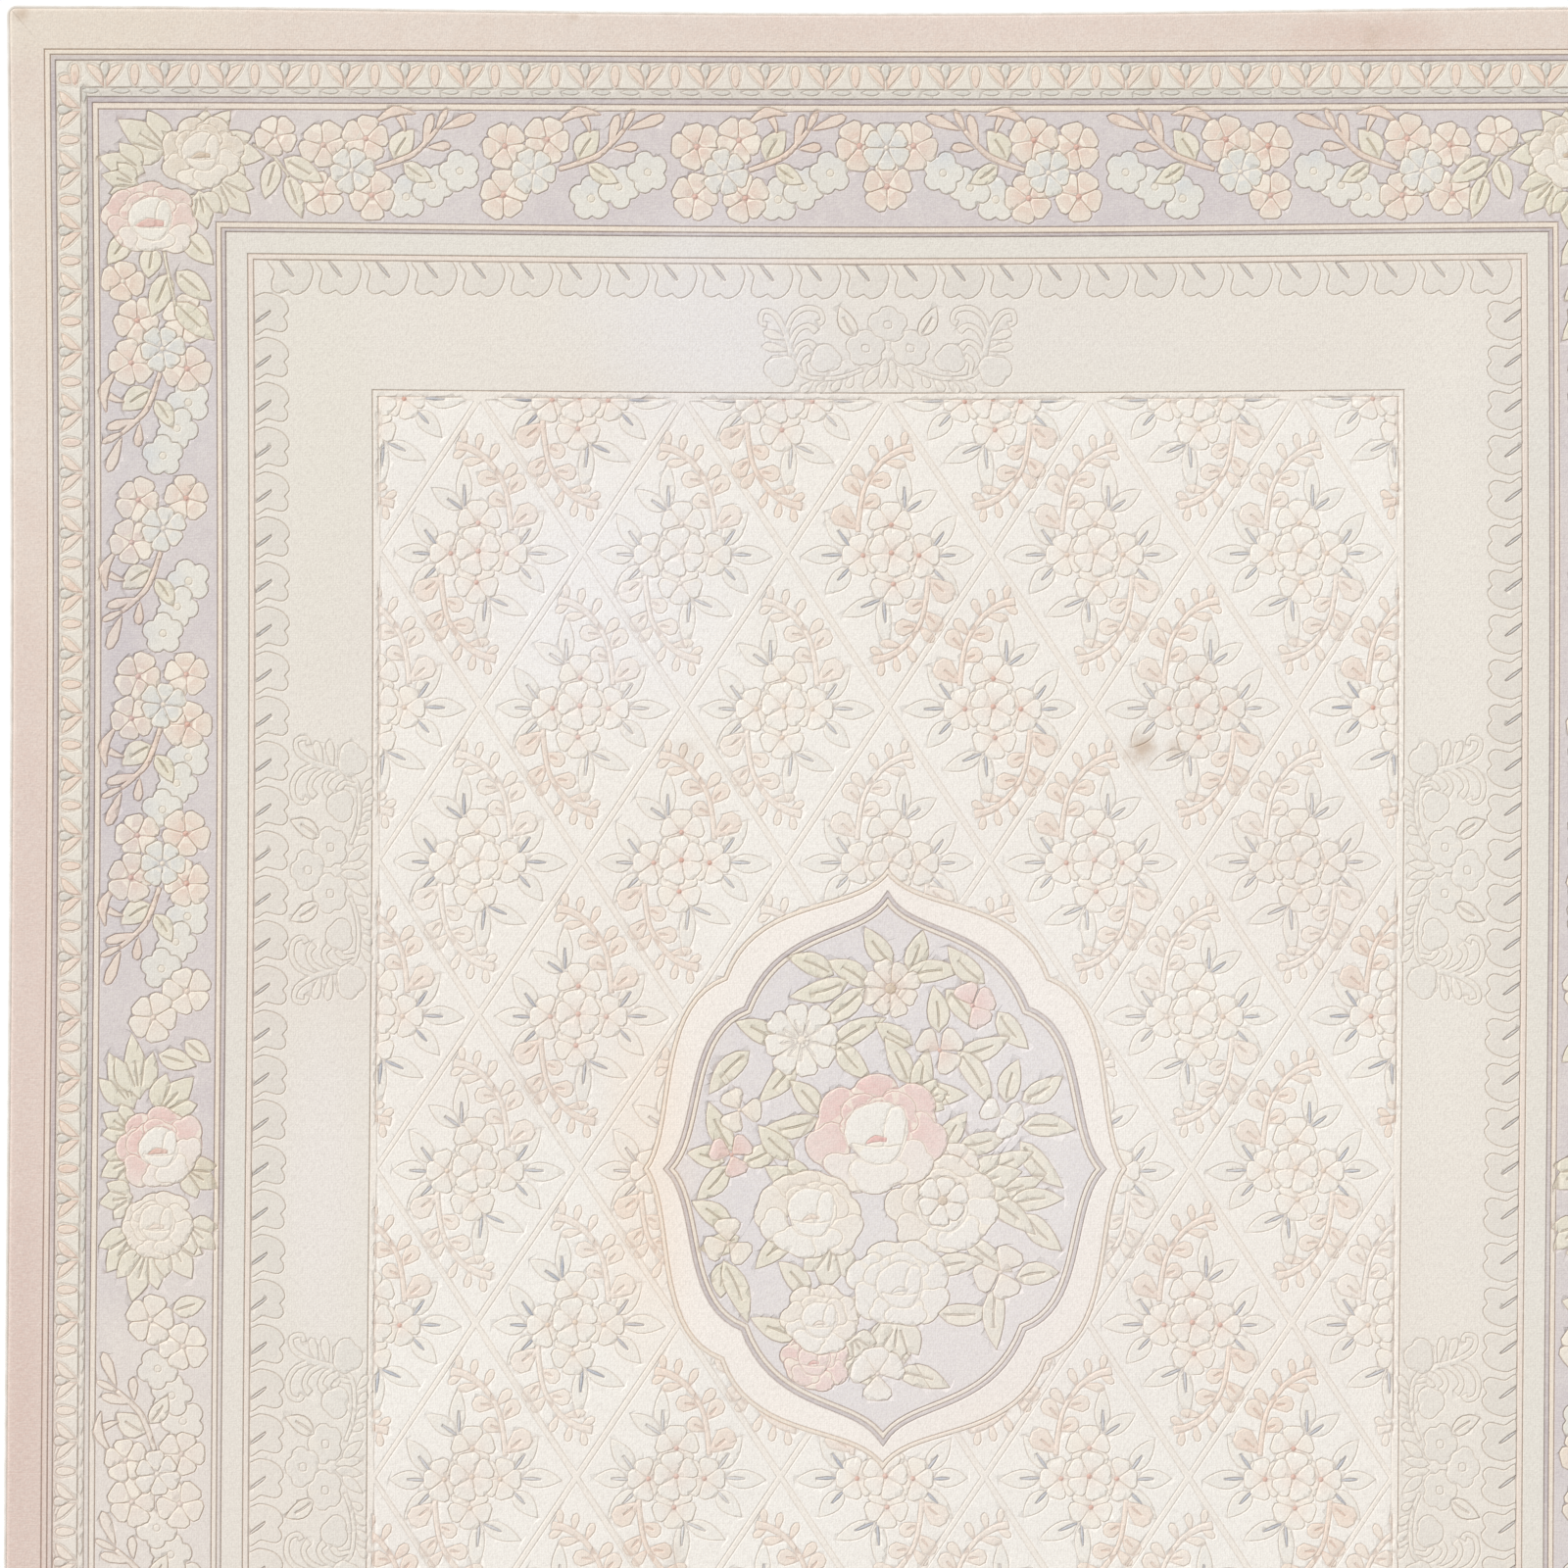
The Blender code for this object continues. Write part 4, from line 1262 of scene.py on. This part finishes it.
# Broad tints over the whole pile: offset, scale, detail and roughness of the noise, where the tint
# starts and is full, strength, colour
tints = (
    ((0.0, 0.0, 0.0), 1.6, 3.0, 0.6, 0.35, 0.68, 0.22, (243, 232, 220)),
    ((7.0, 3.0, 0.0), 2.3, 2.0, 0.5, 0.45, 0.75, 0.14, (226, 205, 200)),
    ((1.0, 9.0, 0.0), 3.1, 3.0, 0.5, 0.50, 0.75, 0.14, (222, 226, 228)),
    ((0.0, 0.0, 0.0), 34.0, 3.0, 0.6, 0.35, 0.70, 0.22, (240, 234, 226)),
)

# Threads that show in the pile: stretch of the noise, where they start and are full, strength, colour
threads = (
    ((90.0, 420.0, 1.0), 0.42, 0.62, 0.24, (246, 241, 230)),
    ((420.0, 110.0, 1.0), 0.45, 0.65, 0.15, (180, 168, 164)),
)


def woolMaterial():
    material, shader, place = newMaterial("wool_pile")
    color = stored(place, "pileColor", "Color")
    rim = stored(place, "pileColor", "Alpha")
    carved = stored(place, "carve")
    for offset, scale, detail, roughness, low, high, strength, tint in tints:
        cloud = noise(vectorMath("ADD", place, offset), scale, detail, roughness)
        color = mixed(between(cloud, low, high, 0.0, strength), color, linear(*tint))
    drifting = (noise(place, 7.0, 3.0, 0.6) - 0.5) * 0.8
    for x, y, reachX, reachY, strength, tint in fades:
        scaled = vectorMath("MULTIPLY", place, (1 / reachX, 1 / reachY, 0.0))
        away = vectorMath("DISTANCE", scaled, (x / reachX, y / reachY, 0.0), 1) + drifting
        color = mixed(between(away, 0.25, 1.15, strength, 0.0), color, linear(*tint))
    for stretch, low, high, strength, tint in threads:
        thread = noise(vectorMath("MULTIPLY", place, stretch), 1.0, 2.0, 0.7)
        color = mixed(between(thread, low, high, 0.0, strength), color, linear(*tint))
    rimMask = between(carved, 0.5, 1.1) * between(carved, 1.7, 2.5, 1.0, 0.0) * rim
    color = mixed(rimMask * 0.85, color, linear(247, 238, 223))
    for x, y, radius, strength in marks:
        away = vectorMath("DISTANCE", place, (x, y, 0.013), 1)
        ragged = away + (noise(place, 60.0, 2.0) - 0.5) * radius * 0.9
        color = mixed(between(ragged, 0.0, radius, strength, 0.0), color, linear(190, 160, 130))
    wool = noise(place, 420.0, 3.0, 0.7)
    color = mixed(between(wool, 0.3, 0.7, 0.10, 0.0), color, linear(150, 138, 130))
    # Painted shade: the colour is multiplied darker towards the bottom of each carved groove, more where
    # the groove is cut deeper
    grooveShade = between(carved, 0.0, 1.3, 0.54, 0.0) * stored(place, "grooveShadeShare")
    color = mixed(grooveShade, color, linear(196, 180, 172), "MULTIPLY")
    # The knot grid: painted shade darkens the colour in the gaps between the tufts, where the bump is
    # lowest
    knots = vectorMath("MULTIPLY", place, (290.0, 290.0, 1.0))
    cellsNode = place.made("ShaderNodeTexVoronoi", {"feature": "F1"},
                           {"Vector": knots, "Scale": 1.0, "Randomness": 0.55})
    tuft = Wire(place.tree, cellsNode.outputs["Distance"])
    color = mixed(between(tuft, 0.35, 0.8, 0.0, 0.12), color, linear(160, 146, 138))
    finishSurface(shader, color, wool * 0.6 - tuft * 0.8, 0.35, 0.0012, 0.95, 0.1)
    shader.inputs["Sheen Weight"].default_value = 0.08
    shader.inputs["Sheen Roughness"].default_value = 0.6
    return material


def weaveMaterial():
    material, shader, place = newMaterial("woven_back")
    x, y = bothWays(place)
    weave = place.math("SINE", x * 1850.0) * place.math("SINE", y * 1850.0)
    color = mixed(between(noise(place, 3.0, 3.0), 0.3, 0.7), linear(214, 203, 184), linear(226, 218, 202))
    color = mixed(between(weave, -1.0, 1.0, 0.0, 0.35), color, linear(176, 162, 142))
    finishSurface(shader, color, weave, 0.6, 0.0008, 0.92, 0.15)
    return material


def yarnMaterial():
    material, shader, place = newMaterial("overcast_yarn")
    x, y = bothWays(place)
    wrap = place.math("SINE", (x + y) * 2400.0)
    color = mixed(between(noise(place, 40.0, 3.0), 0.3, 0.7), linear(230, 225, 217), linear(242, 239, 234))
    # Painted shade in the troughs between the wraps, where the bump is lowest
    color = mixed(between(wrap, -1.0, 0.2, 0.35, 0.0), color, linear(170, 158, 148))
    finishSurface(shader, color, wrap, 0.5, 0.0006, 0.9, 0.15)
    return material


def newPiece(name, vertices, faces, material):
    mesh = bpy.data.meshes.new(name)
    mesh.vertices.add(len(vertices))
    mesh.vertices.foreach_set("co", np.asarray(vertices, dtype=np.float32).ravel())
    faces = np.asarray(faces, dtype=np.int32)
    mesh.loops.add(faces.size)
    mesh.loops.foreach_set("vertex_index", faces.ravel())
    mesh.polygons.add(len(faces))
    mesh.polygons.foreach_set("loop_start", np.arange(0, faces.size, faces.shape[1], dtype=np.int32))
    mesh.update(calc_edges=True)
    mesh.materials.append(material)
    piece = bpy.data.objects.new(name, mesh)
    bpy.context.collection.objects.link(piece)
    return piece


def rimWall(number, chosen, used):
    # the pile's side: each rim edge drops straight to the backing
    rimHere = np.nonzero(strip[rimOwners] == number)[0]
    back = {v: i for i, v in enumerate(used.tolist())}
    chosenPlace = {t: i for i, t in enumerate(chosen.tolist())}
    wall = []
    wallOwner = []
    extra = []
    foot = {}
    for edge, owner in zip(rimSides[rimHere].tolist(), rimOwners[rimHere].tolist()):
        ring = triangles[owner].tolist()
        at = [k for k in range(3) if {ring[k], ring[(k + 1) % 3]} == set(edge)][0]
        a, b = ring[at], ring[(at + 1) % 3]
        for v in (a, b):
            if v not in foot:
                foot[v] = len(used) + len(extra)
                extra.append(v)
        wall += [(back[b], back[a], foot[a]), (back[b], foot[a], foot[b])]
        wallOwner += [(chosenPlace[owner], (b, a, a)), (chosenPlace[owner], (b, a, b))]
    return back, wall, wallOwner, extra


# Each strip's sections lie beside each other in its UV map, in rows of four
bakeTile = {"rows": 4, "margin": 0.015, "share": 0.97}

print("making the pile")
wool = woolMaterial()
strip = np.clip(((centres[:, 0] + halfWidth) / stripWidth).astype(int), 0, mesher["strips"] - 1)
section = np.clip(((centres[:, 1] + halfLength) / stripStep).astype(int), 0, mesher["stripLengths"] - 1)
for number in range(mesher["strips"]):
    chosen = np.nonzero(strip == number)[0]
    used, local = np.unique(triangles[chosen], return_inverse=True)
    local = local.reshape(-1, 3)
    spots = surface[used]
    shade = cornerNormal[chosen]
    distances = carve[used]
    grooveShadeShares = cutHere[used]
    color = cornerColor.reshape(-1, 3, 4)[chosen]
    place = flat[triangles[chosen]]
    sectionHere = section[chosen]
    back, wall, wallOwner, extra = rimWall(number, chosen, used)
    if extra:
        low = surface[extra].copy()
        low[:, 2] = rug["pileFoot"] / 1000
        spots = np.concatenate((spots, low))
        distances = np.concatenate((distances, distances[[back[v] for v in extra]]))
        grooveShadeShares = np.concatenate((grooveShadeShares, grooveShadeShares[[back[v] for v in extra]]))
        wallCorners = spots[np.array(wall)]
        wallNormal = np.cross(wallCorners[:, 1] - wallCorners[:, 0], wallCorners[:, 2] - wallCorners[:, 0])
        wallNormal /= np.maximum(np.linalg.norm(wallNormal, axis=1, keepdims=True), 1e-15)
        shade = np.concatenate((shade, np.repeat(wallNormal[:, None], 3, axis=1)))
        local = np.concatenate((local, np.array(wall)))
        wallFaces = [owner for owner, _ in wallOwner]
        color = np.concatenate((color, np.repeat(color[wallFaces][:, :1], 3, axis=1)))
        place = np.concatenate((place, np.array([[flat[v] for v in ring] for _, ring in wallOwner])))
        sectionHere = np.concatenate((sectionHere, sectionHere[wallFaces]))
    piece = newPiece("pile_strip_%02d" % (number + 1), spots, local, wool)
    mesh = piece.data
    mesh.polygons.foreach_set("use_smooth", np.ones(len(local), dtype=bool))
    layer = mesh.color_attributes.new("pileColor", "FLOAT_COLOR", "CORNER")
    layer.data.foreach_set("color", color.astype(np.float32).ravel())
    # The second attribute holds how deeply each point's nearest groove is cut; it scales the painted shade
    # in the grooves
    for name, values in (("carve", distances), ("grooveShadeShare", grooveShadeShares)):
        mesh.attributes.new(name, "FLOAT", "POINT").data.foreach_set("value", values.astype(np.float32))
    u = (place[:, :, 0] + halfWidth - number * stripWidth) / stripWidth
    v = (place[:, :, 1] + halfLength) / stripStep - sectionHere[:, None]
    column = (sectionHere % bakeTile["rows"])[:, None]
    row = (sectionHere // bakeTile["rows"])[:, None]
    uv = np.stack(((column + bakeTile["margin"] + bakeTile["share"] * u) / bakeTile["rows"],
                   (row + bakeTile["margin"] + bakeTile["share"] * v) / bakeTile["rows"]), axis=2)
    bake = mesh.uv_layers.new(name="OFBake")
    bake.data.foreach_set("uv", np.clip(uv, 0, 1).astype(np.float32).ravel())
    print(piece.name, "triangles:", len(local))
    mesh.normals_split_custom_set(shade.reshape(-1, 3).tolist())
    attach(piece, "root")
    if number == 0:
        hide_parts("knotted_rug")

# The woven back: inset from the pile's rim in millimetres, heights in metres
backSheet = {"inset": 0.4, "bottom": 0.0002, "intoPile": 0.0001}

print("making the back and the edge")
ring = rimRing(rug["bodyInset"] + backSheet["inset"])
ringX, ringY = drift(np.array([p[0] for p in ring]), np.array([p[1] for p in ring]))
count = len(ring)
bottom = [(x / 1000, y / 1000, backSheet["bottom"]) for x, y in zip(ringX, ringY)]
top = [(x / 1000, y / 1000, rug["pileFoot"] / 1000 + backSheet["intoPile"]) for x, y in zip(ringX, ringY)]
backing = bpy.data.meshes.new("woven_backing")
sideFaces = [(i, (i + 1) % count, count + (i + 1) % count, count + i) for i in range(count)]
backing.from_pydata(bottom + top, [], sideFaces + [tuple(reversed(range(count))),
                                                   tuple(range(count, 2 * count))])
backing.materials.append(weaveMaterial())
backingPiece = bpy.data.objects.new("woven_backing", backing)
bpy.context.collection.objects.link(backingPiece)
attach(backingPiece, "root")

yarn = yarnMaterial()
for name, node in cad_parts.items():
    node.data.materials.clear()
    node.data.materials.append(wool if name == "knotted_rug" else yarn)
    for polygon in node.data.polygons:
        polygon.material_index = 0

# A sheet of white paper, a low soft sun and a camera straight above what the photo shows
studio = {
    "floorSize": 30, "floorDrop": 0.0002, "floorWhite": 0.985, "floorRoughness": 0.9,
    "sunPower": 2.3, "sunAngle": 12, "sunFrom": (-0.62, 0.62, 0.72), "sky": 0.56,
    "cameraPlace": (-0.158, 0.600, 8.0), "sensor": 36, "viewWidth": 2.448, "viewEnd": 60,
}

print("light, floor and camera")
bpy.ops.mesh.primitive_plane_add(size=studio["floorSize"], location=(0, 0, -studio["floorDrop"]))
floor = bpy.context.object
floor.name = "studio_floor"
bpy.ops.object.transform_apply(location=True)
paper, shader, _ = newMaterial("studio_paper")
shader.inputs["Base Color"].default_value = (studio["floorWhite"],) * 3 + (1,)
shader.inputs["Roughness"].default_value = studio["floorRoughness"]
shader.inputs["Specular IOR Level"].default_value = 0.0
floor.data.materials.append(paper)

bpy.ops.object.light_add(type="SUN", location=(-3, 3, 5))
sun = bpy.context.object
sun.data.energy = studio["sunPower"]
sun.data.angle = math.radians(studio["sunAngle"])
sun.rotation_euler = Vector(studio["sunFrom"]).to_track_quat("Z", "Y").to_euler()
world = bpy.data.worlds.new("studio")
bpy.context.scene.world = world
world.use_nodes = True
world.node_tree.nodes["Background"].inputs["Color"].default_value = (1, 1, 1, 1)
world.node_tree.nodes["Background"].inputs["Strength"].default_value = studio["sky"]

bpy.ops.object.camera_add(location=studio["cameraPlace"], rotation=(0, 0, 0))
camera = bpy.context.object
camera.data.lens = studio["sensor"] * studio["cameraPlace"][2] / studio["viewWidth"]
camera.data.sensor_width = studio["sensor"]
camera.data.clip_end = studio["viewEnd"]
bpy.context.scene.camera = camera
bpy.context.scene.view_settings.view_transform = "Standard"
